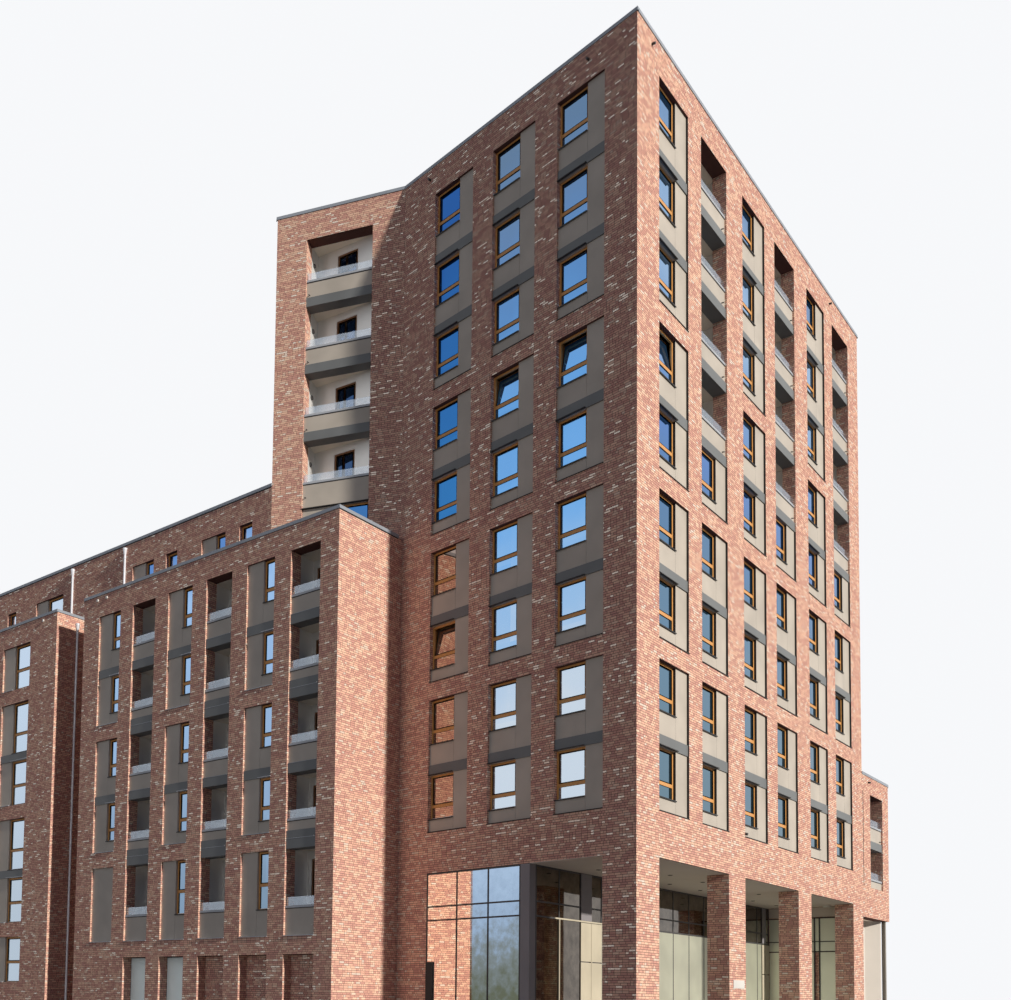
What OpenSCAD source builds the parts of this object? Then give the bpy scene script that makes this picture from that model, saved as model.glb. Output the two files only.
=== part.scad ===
// Corner apartment block in brick: a tower of nine storeys over a tall arcade, a lower wing with
// loggias and a set-back top storey beside it, and a low block at the far end of the street front.
// X runs along the wing to the tower, Y along the tower's street front, Z up from the ground.

/* [Storeys] */
// Height from one floor to the next
storey_h = 2925; // [2850:5:3000]
// Head of the lowest windows over the arcade
first_head_z = 10235; // [10000:5:10400]
// Underside of the arcade
arcade_h = 6450; // [6000:10:6600]
// Brick band between two groups of windows
brick_band_h = 700; // [600:10:780]
// Brickwork over the tower's top windows
tower_top_h = 1185; // [900:5:1500]
// Brickwork over the wing's top windows
wing_top_h = 1010; // [800:5:1300]
// Brickwork over the set-back storey's windows
setback_top_h = 1195; // [800:5:1500]
// Foot of the wing's tall first-floor openings
wing_foot_z = 3960; // [3800:10:4100]
// Head of the wing's ground openings
ground_head_z = 3270; // [3000:10:3400]
// Head of the low block's upper loggia
low_head_z = 12050; // [11800:10:12200]
// Storey of the low block
low_storey_h = 2650; // [2550:10:2750]
// Brickwork over the low block's upper loggia
low_top_h = 850; // [700:10:1100]
// Foot of the low block's lower loggia
low_foot_z = 7440; // [7300:10:7600]
// Underside of the low block
low_soffit_z = 5950; // [5800:10:6200]

/* [Walls] */
// Thickness of the outer walls
wall_t = 560; // [480:10:620]
// Thickness of the floor slabs
slab_t = 300; // [240:10:340]
// Thickness of the loggia room walls
room_wall_t = 150; // [100:10:200]
// Width of the metal copings past the brick
coping_over = 30; // [15:5:60]
// Height of the metal copings
coping_h = 130; // [80:5:160]

/* [Tower plan] */
// Pier at the street corner, on the street front
corner_pier = 1630; // [1400:10:1800]
// Width of an opening on the street front
street_open_w = 2330; // [2100:10:2500]
// Pier inside a pair of bays
pair_pier = 1110; // [900:10:1300]
// Pier between pairs of bays
wide_pier = 1560; // [1300:10:1800]
// Pier at the far end of the street front
end_pier = 1490; // [1200:10:1800]
// Pier at the street corner, on the square front
square_pier = 1320; // [1100:10:1500]
// Width of an opening on the square front
square_open_w = 2050; // [1800:10:2200]
// Pier between the openings of the square front
square_gap = 1020; // [800:10:1200]
// Blank brickwork at the inner end of the square front
square_blank = 1745; // [1500:10:2000]
// Turn of the square front away from the square corner
square_turn = 7.86; // [6:0.02:10]
// Length from the street corner to the tower's inner side, square to the street
tower_depth = 16540; // [16000:10:17500]
// Blank brickwork beside the loggias of the return front, at the tower's outer edge
return_edge = 1380; // [1100:10:1600]
// Blank brickwork beside the loggias of the return front, at the tower's inner corner
return_inner = 1410; // [1200:10:1600]

/* [Wing plan] */
// Distance of the wing's blank side from the street front
wing_x = 11040; // [10900:10:11100]
// Distance of the wing's front before the street corner
wing_y = 2250; // [2000:10:2500]
// Depth of the set-back behind the wing's front
setback = 1770; // [1500:10:1900]
// Pier at the wing's outer corner
wing_pier = 935; // [800:5:1100]
// Width of the wing's openings
wing_open_w = 1580; // [1450:10:1700]
// Pier between the wing's openings
wing_gap = 890; // [800:10:1000]
// Pier at the wing's inner end
wing_end_pier = 1200; // [1000:10:1400]
// Width of the recess between the wing and the end block
recess_w = 2230; // [2000:10:2500]
// Pier of the end block beside the recess
end_block_pier = 2230; // [2000:10:2400]
// Width of the end block's openings
end_open_w = 2410; // [2200:10:2500]
// Pier between the end block's openings
end_gap = 1490; // [1300:10:1700]
// Pier at the party wall
party_pier = 1330; // [1200:10:1500]
// Distance from the street corner to the wing's rear wall
wing_rear_y = 11000; // [10800:50:12000]

/* [Low block] */
// Length of the low block along the street
low_len = 4350; // [4200:10:4600]
// Depth of the low block
low_depth = 9000; // [8000:50:10000]
// Brickwork before the low block's loggias
low_pier = 1300; // [1200:10:1400]
// Width of the low block's loggias
low_open_w = 2050; // [1900:10:2200]
// Set-back of the low block's rendered ground floor
low_ground_back = 900; // [700:10:1200]
// Distance of the rendered wall's oblique part, at its outer end, behind the street front
low_wall_end = 300; // [280:10:500]
// Distance of the rendered wall's bend before the low block's far end
low_wall_bend = 1070; // [900:10:1400]
// Side of the steel post under the low block
post_w = 170; // [120:10:220]
// Distance of the steel post inside the low block's corner
post_in = 130; // [60:10:150]

/* [Windows] */
// Width of a window on the street front
street_win_w = 1430; // [1300:10:1500]
// Width of a window on the square front
square_win_w = 1270; // [1150:10:1350]
// Width of a window on the wing
wing_win_w = 690; // [600:10:850]
// Width of the small windows of the set-back storey
small_win_w = 800; // [700:10:900]
// Width of a window on the end block
end_win_w = 1450; // [1300:10:1550]
// Height of a window
win_h = 1700; // [1600:10:1760]
// Height of the tall windows over the wing's ground floor
tall_win_h = 2270; // [2100:10:2400]
// Height of the lower fixed light
light_h = 440; // [400:5:520]
// Height of the lower light of a tall window
tall_light_h = 900; // [800:10:1000]
// Height of a timber transom
transom_h = 120; // [90:5:140]
// Height of the timber at a window's foot
foot_rail_h = 30; // [25:5:60]
// Set-back of a window behind the brick face
win_back = 180; // [150:5:220]
// Depth of a window frame
frame_d = 70; // [60:5:90]
// Width of a window frame member
frame_w = 75; // [60:5:90]
// Thickness of a pane
pane_t = 12; // [8:1:20]
// Thickness of a metal window sill
sill_t = 25; // [20:5:40]
// Set-back of the metal panels behind the brick face
panel_back = 85; // [70:5:110]
// Thickness of the metal panels
panel_t = 275; // [220:5:300]
// Open joint beside a metal panel
panel_joint = 8; // [4:1:15]
// Height of the dark floor edges
edge_h = 390; // [350:5:450]
// Thickness of the dark floor edges' face plates
edge_t = 45; // [30:5:60]

/* [Loggias] */
// Depth of a loggia behind the brick face
loggia_d = 1500; // [1300:10:1700]
// Widening of a loggia behind the brick
loggia_side = 300; // [200:10:340]
// Height of the solid parapet over the floor edge
parapet_h = 690; // [600:10:750]
// Thickness of the solid parapet
parapet_t = 60; // [40:5:90]
// Height of the cap rail on the parapet
rail_h = 50; // [40:5:70]
// Overhang of the cap rail past the parapet
rail_over = 20; // [10:1:30]
// Height of the glass over the cap rail
balustrade_h = 370; // [300:10:450]
// Width of a loggia window
door_w = 1250; // [1100:10:1300]
// White wall beside a loggia window
door_side = 560; // [450:10:600]
// Depth of the lintel over a loggia window
door_lintel = 320; // [250:10:400]
// Depth of the return front's loggias at their deep end
return_loggia_d = 1300; // [1200:10:1400]
// Turn of the return front's loggia back walls away from the brick face
return_twist = 12.9; // [11:0.1:14]
// White wall between the deep end of a return loggia and its window
return_door_side = 1020; // [900:10:1100]
// Width of a return loggia's window
return_door_w = 1040; // [900:10:1150]

/* [Arcade] */
// Depth of the arcade pillars
pillar_d = 850; // [700:10:950]
// Thickness of the brick panels in the ground bays by the wing's corner
infill_t = 110; // [90:5:150]
// Distance of the glass hall behind the street front
hall_back = 4370; // [4200:10:4500]
// Depth of the hall's mullions
mullion_d = 120; // [80:5:160]
// Width of the hall's mullions
mullion_w = 60; // [40:5:80]
// Width of the hall's metal corner post on the square front
hall_post_w = 410; // [350:10:500]
// Width of the hall's metal corner post along the arcade
hall_post_d = 400; // [350:10:500]
// Number of bays in the hall's glass along the arcade
hall_bays = 14; // [12:1:16]
// Thickness of the soffit boards
soffit_t = 12; // [10:1:30]
// Set-back of the soffit boards behind the brick face
soffit_back = 60; // [40:5:80]
// Height of the upper transom in the hall's glass
upper_transom_z = 5120; // [5000:10:5250]
// Height of the lower transom in the hall's glass
lower_transom_z = 4600; // [4450:10:4750]
// Diameter of the downpipes
pipe_d = 110; // [80:5:140]
// Distance of the recess's downpipe before the recess's back
recess_pipe = 640; // [400:10:900]
// Distance of the recess's downpipe under the wing's brick top
recess_pipe_drop = 400; // [300:10:600]
// Distance of the set-back storey's downpipe inside the wing's outer end
wing_pipe = 650; // [500:10:900]
// Distance of the set-back storey's downpipe inside the end block's inner end
end_pipe = 1370; // [1200:10:1600]
// Distance of the set-back storey's downpipes under its brick top
pipe_drop = 260; // [200:10:500]

/* [Hidden] */
$fn = 24;

// Bed joint left between neighbouring pieces of one wall
joint = 0.15;
brick = [0.50, 0.25, 0.20];
panel_grey = [0.42, 0.39, 0.35];
edge_grey = [0.20, 0.21, 0.23];
timber = [0.62, 0.36, 0.12];
glass_blue = [0.35, 0.50, 0.68, 0.5];
render_white = [0.86, 0.86, 0.83];
concrete = [0.62, 0.61, 0.59];
zinc = [0.24, 0.25, 0.27];

// Head of storey i, counted from the first over the arcade
function head(i) = first_head_z + storey_h * i;
// Foot of a group of storeys [lowest, highest], which may state its own
function foot(g) = len(g) > 2 ? g[2] : head(g[0] - 1) + brick_band_h;
// Upper side of the floor of storey i
function floor_z(i) = (i < 0 ? wing_foot_z : head(i - 1)) + edge_h;
function dir(a) = [cos(a), sin(a)];

street_len = corner_pier + 6 * street_open_w + 3 * pair_pier + 2 * wide_pier + end_pier;
pair_w = 2 * street_open_w + pair_pier;
pair_step = pair_w + wide_pier;
square_len = square_pier + 3 * square_open_w + 2 * square_gap + square_blank;
wing_len = wing_pier + 6 * wing_open_w + 5 * wing_gap + wing_end_pier;
end_len = end_block_pier + 2 * end_open_w + end_gap + party_pier;
set_y = setback - wing_y;
c_pt = [0, 0];
a_pt = [0, street_len];
b_pt = [-tower_depth, street_len];
e_pt = [-tower_depth, set_y];
d_pt = -square_len * dir(-square_turn);
return_len = norm(d_pt - e_pt);
return_turn = atan2(d_pt[1] - e_pt[1], d_pt[0] - e_pt[0]);
return_open_w = return_len - return_edge - return_inner;
wing_left = -wing_x - wing_len;
end_right = wing_left - recess_w;
row_left = end_right - end_len;
tower_top = head(8) + tower_top_h;
wing_top = head(3) + wing_top_h;
setback_top = head(4) + setback_top_h;
low_top = low_head_z + low_top_h;
wing_deck = head(3) + edge_h;
setback_deck = head(4) + edge_h;
y_max = street_len + low_len;
centre = [row_left / 2, (y_max - wing_y) / 2, 0];

function mitre(t) = wall_t * tan(t / 2);
// A front: [corner, direction, start, end, inner shift at start, inner shift at end]
street = [c_pt, 90, 0, street_len, mitre(90 + square_turn), mitre(90)];
square = [d_pt, -square_turn, 0, square_len, mitre(-square_turn - return_turn),
  mitre(90 + square_turn)];
return_f = [e_pt, return_turn, 0, return_len, mitre(return_turn + 90),
  mitre(-square_turn - return_turn)];
rear = [a_pt, 180, 0, tower_depth, mitre(90), mitre(90)];
court_low = [b_pt, -90, 0, street_len - wing_rear_y + wall_t, mitre(90), 0];
court_high = [b_pt, -90, court_low[3], street_len - set_y, 0, mitre(90 + return_turn)];
wing_f = [[wing_left, -wing_y], 0, 0, wing_len, mitre(90), mitre(90)];
end_f = [[row_left, -wing_y], 0, 0, end_len, mitre(90), mitre(90)];
setback_f = [[row_left, set_y], 0, 0, -tower_depth - row_left, mitre(90), 0];
wing_rear_f = [[-tower_depth, wing_rear_y], 180, 0, -tower_depth - row_left, 0, mitre(90)];
low_f = [a_pt, 90, 0, low_len, 0, mitre(90)];

module on(f) translate([f[0][0], f[0][1], 0]) rotate([0, 0, f[1]]) children();

// One straight piece of wall, mitred where it reaches the end of its front
module piece(f, s0, s1, z0, z1) {
  a = s0 == f[2] ? f[4] : 0;
  b = s1 == f[3] ? f[5] : 0;
  on(f) translate([0, 0, z0 + joint / 2]) linear_extrude(z1 - z0 - joint)
    polygon([[s0 + joint, 0], [s1 - joint, 0], [s1 - b - joint, wall_t],
      [s0 + a + joint, wall_t]]);
}

// Wall with columns of openings: a base, a top, piers between the columns and the bands in them
module wall(f, z0, base, top, z1, columns) {
  n = len(columns);
  if (base > z0) piece(f, f[2], f[3], z0, base);
  if (z1 > top) piece(f, f[2], f[3], top, z1);
  for (k = [0:n])
    piece(f, k == 0 ? f[2] : columns[k - 1][0] + columns[k - 1][1],
      k == n ? f[3] : columns[k][0], base, top);
  for (c = columns) {
    g = c[2];
    if (foot(g[0]) > base) piece(f, c[0], c[0] + c[1], base, foot(g[0]));
    for (k = [1:1:len(g) - 1]) piece(f, c[0], c[0] + c[1], head(g[k - 1][1]), foot(g[k]));
    if (top > head(g[len(g) - 1][1])) piece(f, c[0], c[0] + c[1], head(g[len(g) - 1][1]), top);
  }
}

// A column: [start, width, groups of storeys, first loggia storey, window width, window at end,
// kind]. A full column has windows down to its foot, a tall one has a tall lowest window, a blank
// one has metal panel in place of its lowest window, and a return one has turned loggia rooms.
pairs = [[0, 1], [2, 3], [4, 5], [6, 8]];
stack = [[0, 1], [2, 3], [4, 8]];
none = 99;
street_cols = [for (k = [0:5]) let (s = corner_pier + floor(k / 2) * pair_step
  + (k % 2) * (street_open_w + pair_pier))
  [s, street_open_w, k % 2 ? stack : pairs, k % 2 ? 5 : none, street_win_w, false, ""]];
square_cols = [for (k = [0:2]) [square_blank + k * (square_open_w + square_gap), square_open_w,
  pairs, none, square_win_w, false, ""]];
top_five = [4, 8];
return_cols = [[return_edge, return_open_w, [top_five], 5, street_win_w, true, "return"]];
rear_pier = (tower_depth - 4 * square_open_w - 3 * square_gap) / 2;
rear_cols = [for (k = [0:3]) [rear_pier + k * (square_open_w + square_gap), square_open_w,
  pairs, none, square_win_w, false, ""]];
court_cols = [for (k = [0:2]) [end_pier + k * (street_open_w + wide_pier), street_open_w,
  pairs, none, street_win_w, false, ""]];
court_high_cols = [for (k = [1:2]) [court_high[2] + (k - 0.5) * (street_open_w + wide_pier)
  - street_open_w / 2, street_open_w, [pairs[3]], none, street_win_w, false, ""]];
wing_cols = [for (k = [0:5]) [wing_end_pier + k * (wing_open_w + wing_gap), wing_open_w,
  k % 2 ? [[-1, 3, wing_foot_z]] : [[-1, -1, wing_foot_z], [0, 1], [2, 3]],
  k % 2 ? -1 : none, wing_win_w, true, k > 0 ? "tall" : "blank"]];
end_cols = [for (k = [0:1]) [party_pier + k * (end_open_w + end_gap), end_open_w,
  [[-2, -2], [-1, 0], [1, 2], [3, 3]], none, end_win_w, true, "full"]];
setback_spots = concat(
  [for (k = [0:1]) [end_cols[k][0] + (k ? 0 : end_open_w / 2),
    k ? end_open_w : small_win_w, [[4, 4]], none, k ? end_win_w : small_win_w, true, ""]],
  [for (k = [0:3]) [wing_left - row_left + wing_cols[k][0], k % 2 ? small_win_w : wing_open_w,
    [[4, 4]], none, k % 2 ? small_win_w : wing_win_w, true, ""]]);
setback_cols = [for (c = setback_spots) if (c[0] + c[1] + wall_t < setback_f[3]) c];
rear_w_pier = (wing_rear_f[3] - 5 * end_open_w - 4 * end_gap) / 2;
wing_rear_cols = [for (k = [0:4]) [rear_w_pier + k * (end_open_w + end_gap), end_open_w,
  [[-1, -1], [0, 1], [2, 4]], none, end_win_w, true, "full"]];
tower_fronts = [[street, street_cols], [square, square_cols], [return_f, return_cols],
  [rear, rear_cols], [court_low, court_cols], [court_high, court_high_cols]];
wing_fronts = [[wing_f, wing_cols], [end_f, end_cols], [setback_f, setback_cols],
  [wing_rear_f, wing_rear_cols]];

// Top of what a storey's window stands on
function ledge(g, i) = i > g[0] ? head(i - 1) + edge_h : foot(g);
function window_h(c, g, i) = c[6] == "full" ? head(i) - ledge(g, i) - sill_t
  : c[6] == "tall" && i < 0 ? tall_win_h : win_h;

module on_storeys(fronts) {
  for (front = fronts, c = front[1], g = c[2], i = [g[0]:1:g[1]])
    on(front[0]) translate([c[0], 0, 0]) {
      $c = c;
      $g = g;
      $i = i;
      $x = c[5] ? c[1] - c[4] : 0;
      $loggia = i >= c[3];
      $blank = c[6] == "blank" && i < 0;
      $sill = head(i) - window_h(c, g, i);
      $light = $sill < head(i) - win_h ? tall_light_h : light_h;
      $edge = c[3] < 0 && i % 2 == 0 ? brick_band_h : edge_h;
      $low = i > g[0] ? head(i - 1) : foot(g);
      $deep_panel = c[6] == "return" && i == c[3];
      children();
    }
}

module arcade_pillars() {
  color(brick) {
    linear_extrude(arcade_h - joint)
      polygon([[0, 0], [0, corner_pier], -square_pier * dir(-square_turn) + [0, corner_pier],
        -square_pier * dir(-square_turn)]);
    for (k = [0:2]) translate([-pillar_d, corner_pier + pair_w + k * pair_step, 0])
      cube([pillar_d, k < 2 ? wide_pier : end_pier - wall_t - joint, arcade_h - joint]);
  }
}
module street_wall() color(brick) wall(street, arcade_h, foot(pairs[0]), head(8), tower_top, street_cols);
module square_wall() color(brick) {
  wall(square, arcade_h, foot(pairs[0]), head(8), tower_top, square_cols);
  piece(square, 0, square_blank, 0, arcade_h);
}
module return_wall() color(brick)
  wall(return_f, wing_deck, foot(top_five), head(8), tower_top, return_cols);
module rear_wall() color(brick) {
  wall(rear, arcade_h, foot(pairs[0]), head(8), tower_top, rear_cols);
  piece([a_pt, 180, 0, tower_depth, 0, mitre(90)], 0, tower_depth, 0, arcade_h);
}
module court_wall() color(brick) {
  wall(court_low, 0, foot(pairs[0]), head(8), tower_top, court_cols);
  wall(court_high, setback_deck, foot(pairs[3]), head(8), tower_top, court_high_cols);
}
module wing_front_wall() color(brick) {
  wall(wing_f, ground_head_z, wing_foot_z, head(3), wing_top, wing_cols);
  piece(wing_f, 0, wing_cols[1][0], 0, ground_head_z);
  for (k = [1:5]) piece(wing_f, wing_cols[k][0] + wing_open_w,
    k < 5 ? wing_cols[k + 1][0] : wing_len, 0, ground_head_z);
}
// The blank side runs into the corner where the square front and the return front meet
module wing_side_wall() color(brick) {
  x1 = -wing_x;
  x0 = x1 - wall_t;
  linear_extrude(wing_top) polygon([[x1, -wing_y + joint], [x1, d_pt[1] - (x1 - d_pt[0])
    * tan(square_turn) - joint], d_pt - [0, joint],
    [x0, d_pt[1] - (d_pt[0] - x0) * tan(return_turn) - joint], [x0, -wing_y + wall_t + joint]]);
}
module recess_walls() color(brick) {
  left = [[end_right, -wing_y], 90, 0, setback, mitre(90), -mitre(90)];
  back = [[end_right, set_y], 0, 0, recess_w, -mitre(90), -mitre(90)];
  right = [[wing_left, set_y], -90, 0, setback, -mitre(90), mitre(90)];
  for (f = [left, back, right]) piece(f, f[2], f[3], 0, wing_deck);
  piece([left[0], 90, 0, setback, mitre(90), 0], 0, setback, wing_deck, wing_top);
  piece([right[0], -90, 0, setback, 0, mitre(90)], 0, setback, wing_deck, wing_top);
}
module end_block_wall() color(brick)
  wall(end_f, 0, foot([-2, -2]), head(3), wing_top, end_cols);
module party_wall() color(brick) {
  f = [[row_left, wing_rear_y], -90, 0, wing_rear_y + wing_y, mitre(90), mitre(90)];
  piece(f, 0, wing_rear_y - set_y, 0, wing_deck);
  piece(f, wing_rear_y - set_y, wing_rear_y + wing_y, 0, wing_top);
  piece([f[0], -90, 0, wing_rear_y - set_y, mitre(90), mitre(90)], 0, wing_rear_y - set_y,
    wing_deck, setback_top);
}
module setback_wall() color(brick)
  wall(setback_f, wing_deck, foot([4, 4]), head(4), setback_top, setback_cols);
module wing_rear_wall() color(brick)
  wall(wing_rear_f, 0, foot([-1, -1]), head(4), setback_top, wing_rear_cols);

low_rows = [low_head_z - low_storey_h, low_head_z];
module low_block_walls() color(brick) {
  s1 = low_pier + low_open_w;
  piece(low_f, 0, low_len, low_soffit_z, low_foot_z);
  piece(low_f, 0, low_len, low_head_z, low_top);
  piece(low_f, 0, low_pier, low_foot_z, low_head_z);
  piece(low_f, s1, low_len, low_foot_z, low_head_z);
  piece([[0, y_max], 180, 0, low_depth, mitre(90), mitre(90)], 0, low_depth,
    low_soffit_z, low_top);
  piece([[-low_depth, y_max], -90, 0, low_len, mitre(90), 0], 0, low_len,
    low_soffit_z, low_top);
}
module low_ground_walls() color(render_white) {
  top = low_soffit_z - joint;
  end = y_max - wall_t;
  bend = y_max - low_wall_bend;
  t = room_wall_t;
  translate([-low_ground_back - t, street_len + joint, 0])
    cube([t, bend - street_len - 2 * joint, top]);
  linear_extrude(top) polygon([[-low_ground_back - t, bend + joint], [-low_ground_back, bend + joint],
    [-low_wall_end, end - joint], [-low_wall_end - t, end - joint]]);
  translate([-low_depth + wall_t, end + joint, 0]) cube([low_depth - wall_t - low_wall_end, t, top]);
  translate([-low_depth + wall_t, street_len + joint, 0])
    cube([t, low_len - wall_t - 2 * joint, top]);
}
module steel_post() color(zinc) translate([-post_w - post_in, y_max - post_w - post_in, 0])
  cube([post_w, post_w, low_soffit_z - joint]);
// Brick panels that close the three ground bays next to the wing's corner
module ground_infill() color(brick)
  for (k = [3:5]) on(wing_f)
    translate([wing_cols[k][0] + joint, wall_t - infill_t, 0])
      cube([wing_open_w - 2 * joint, infill_t, ground_head_z - joint]);

function inner(f, s, t = wall_t) = f[0] + s * dir(f[1]) + t * dir(f[1] + 90);
m_pt = inner(square, square[4]);
in_c = inner(street, street[4]);
in_a = inner(street, street_len - street[5]);
in_b = inner(rear, tower_depth - rear[5]);
in_e = inner(return_f, return_f[4]);
module slab(z, pts) translate([0, 0, z - slab_t]) linear_extrude(slab_t) offset(delta = -joint)
  polygon(pts);
module tower_floors() color(concrete) {
  for (i = [0:9]) {
    slab(floor_z(i), [m_pt, in_c, in_a, [m_pt[0], in_a[1]]]);
    slab(floor_z(i), [in_e, m_pt, [m_pt[0], in_a[1]], in_b]);
  }
  hall = -hall_back - mullion_d - pane_t;
  slab(slab_t, [m_pt, [hall, m_pt[1] + (m_pt[0] - hall) * tan(square_turn)],
    [hall, in_a[1]], [m_pt[0], in_a[1]]]);
  slab(slab_t, [in_e, m_pt, [m_pt[0], in_a[1]], in_b]);
}
module wing_floors() color(concrete) {
  x0 = row_left + wall_t;
  x1 = in_e[0];
  y0 = -wing_y + wall_t;
  y1 = in_e[1];
  side = -wing_x - wall_t;
  for (z = concat([slab_t], [for (i = [-1:4]) floor_z(i)])) {
    slab(z, [[wing_left + wall_t, y0], [x1, y0], [x1, y1], [wing_left + wall_t, y1]]);
    slab(z, [[x1, y0], [side, y0], [side, m_pt[1] + (side - m_pt[0]) * tan(return_turn)],
      [x1, y1]]);
    slab(z, [[x0, y0], [end_right - wall_t, y0], [end_right - wall_t, y1], [x0, y1]]);
    slab(z, [[end_right - wall_t, set_y + wall_t], [wing_left + wall_t, set_y + wall_t],
      [wing_left + wall_t, y1], [end_right - wall_t, y1]]);
    slab(z, [[x0, y1], [x1, y1], [x1, wing_rear_y - wall_t], [x0, wing_rear_y - wall_t]]);
  }
  slab(setback_deck, [[x0, set_y + wall_t], [x1, set_y + wall_t],
    [x1, wing_rear_y - wall_t], [x0, wing_rear_y - wall_t]]);
}
module low_block_floors() color(concrete) {
  pts = [[-low_depth + wall_t, street_len], [-wall_t, street_len], [-wall_t, y_max - wall_t],
    [-low_depth + wall_t, y_max - wall_t]];
  for (z = [low_soffit_z + slab_t, low_rows[0] - low_storey_h + edge_h, low_rows[0] + edge_h,
    low_head_z + edge_h]) slab(z, pts);
}

// Metal cap along a stretch of wall head
module cap(f, s0, s1, z) {
  a = s0 == f[2] ? f[4] / wall_t : 0;
  b = s1 == f[3] ? f[5] / wall_t : 0;
  o = coping_over;
  on(f) translate([0, 0, z]) linear_extrude(coping_h)
    polygon([[s0 - o * a + joint, -o], [s1 + o * b - joint, -o],
      [s1 - (wall_t + o) * b - joint, wall_t + o], [s0 + (wall_t + o) * a + joint, wall_t + o]]);
}
module tower_coping() color(zinc) {
  for (f = [street, square, return_f, rear]) cap(f, f[2], f[3], tower_top);
  cap([b_pt, -90, 0, street_len - set_y, mitre(90), mitre(90 + return_turn)], 0,
    street_len - set_y, tower_top);
}
module wing_coping() color(zinc) {
  o = coping_over;
  cap([wing_f[0], 0, 0, wing_len, mitre(90), mitre(90)], 0, wing_len, wing_top);
  cap([end_f[0], 0, 0, end_len, mitre(90), mitre(90)], 0, end_len, wing_top);
  cap([[-wing_x, -wing_y], 90, 0, wing_y, mitre(90), 0], 0,
    wing_y + d_pt[1] - (wall_t + o) * tan(return_turn) - 2 * o, wing_top);
  cap([[end_right, -wing_y], 90, 0, setback, mitre(90), 0], 0, setback - joint, wing_top);
  cap([[wing_left, set_y], -90, 0, setback, 0, mitre(90)], joint, setback, wing_top);
  cap([[row_left, set_y], -90, 0, setback, 0, mitre(90)], joint, setback, wing_top);
}
module setback_coping() color(zinc) {
  o = coping_over;
  cap([setback_f[0], 0, 0, setback_f[3], mitre(90), 0], 0, setback_f[3] - joint, setback_top);
  cap([wing_rear_f[0], 180, 0, wing_rear_f[3], 0, mitre(90)], joint, wing_rear_f[3],
    setback_top);
  cap([[row_left, wing_rear_y], -90, 0, wing_rear_y - set_y, mitre(90), mitre(90)], 0,
    wing_rear_y - set_y, setback_top);
}
module low_block_coping() color(zinc) {
  cap([a_pt, 90, 0, low_len, 0, mitre(90)], joint, low_len, low_top);
  cap([[0, y_max], 180, 0, low_depth, mitre(90), mitre(90)], 0, low_depth, low_top);
  cap([[-low_depth, y_max], -90, 0, low_len, mitre(90), 0], 0, low_len - joint, low_top);
}

// Boards under the arcade, from the street front back to the glass hall
module board(x0, x1, y0, y1) translate([0, 0, arcade_h - soffit_t]) linear_extrude(soffit_t - joint)
  polygon([[x0, y0 - x0 * tan(square_turn)], [x1 - joint, y0 - x1 * tan(square_turn)],
    [x1 - joint, y1], [x0, y1]]);
module arcade_soffit() color(concrete) {
  q = -square_pier * cos(square_turn);
  y1 = street_len - wall_t - joint;
  board(-hall_back + joint, q, joint, y1);
  board(q, -pillar_d, corner_pier + joint, y1);
  board(-pillar_d, -soffit_back, corner_pier + joint, corner_pier + pair_w - joint);
  for (k = [1:2]) translate([-pillar_d, corner_pier + k * pair_step + joint, arcade_h - soffit_t])
    cube([pillar_d - soffit_back, pair_w - 2 * joint, soffit_t - joint]);
}
// Glass hall: one lattice along the arcade and one in the square front
module lattice(w, h, posts, rails) difference() {
  square([w, h]);
  ps = concat([0], posts, [w - mullion_w]);
  rs = concat([0], rails, [h - mullion_w]);
  for (i = [0:len(ps) - 2], j = [0:len(rs) - 2])
    translate([ps[i] + mullion_w, rs[j] + mullion_w])
      square([ps[i + 1] - ps[i] - mullion_w, rs[j + 1] - rs[j] - mullion_w]);
}
hall_top = arcade_h - soffit_t - 2 * joint;
hall_s = square_len - hall_back / cos(square_turn);
box_w = hall_s - square_blank - hall_post_w;
hall_y0 = (hall_back + mullion_d + pane_t) * tan(square_turn) + hall_post_d + 2 * joint;
hall_len = street_len - wall_t - hall_y0;
module in_hall_box() on(square) translate([square_blank, 0, 0]) rotate([90, 0, 0])
  translate([0, 0, -mullion_d]) children();
module along_hall() translate([-hall_back, hall_y0, 0]) rotate([90, 0, 90])
  translate([0, 0, -mullion_d]) children();
module hall_frame() color(edge_grey) {
  in_hall_box() linear_extrude(mullion_d) lattice(box_w - joint, hall_top,
    [for (k = [1:2]) k * box_w / 3], [lower_transom_z, upper_transom_z]);
  along_hall() linear_extrude(mullion_d) lattice(hall_len, hall_top,
    [for (k = [1:hall_bays - 1]) k * hall_len / hall_bays], [lower_transom_z, upper_transom_z]);
}
module hall_glass() color(glass_blue) {
  in_hall_box() translate([0, 0, -pane_t]) linear_extrude(pane_t - joint)
    square([box_w - joint, hall_top]);
  along_hall() translate([0, 0, -pane_t]) linear_extrude(pane_t - joint)
    square([hall_len, hall_top]);
}
module hall_corner_post() color(edge_grey) on(square) linear_extrude(hall_top) {
  deep = hall_post_d * cos(square_turn);
  polygon([[hall_s - hall_post_w, 0], [hall_s, 0], [hall_s - hall_post_d * sin(square_turn), deep],
    [hall_s - hall_post_w, deep]]);
}

// Metal panels beside and under the windows
module panels() {
  j = panel_joint;
  w = $blank ? $c[1] : $c[1] - $c[4];
  under = $sill - sill_t - $low;
  if (!$loggia && w > 2 * j) translate([$c[5] ? j : $c[4] + j, panel_back, $low + joint])
    cube([w - 2 * j, panel_t, head($i) - $low - 2 * joint]);
  if (!$loggia && !$blank && under > sill_t) translate([$x + joint, panel_back, $low + joint])
    cube([$c[4] - 2 * joint, panel_t, under - 2 * joint]);
}
module tower_panels() color(panel_grey) on_storeys(tower_fronts) panels();
module wing_panels() color(panel_grey) on_storeys(wing_fronts) panels();

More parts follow.
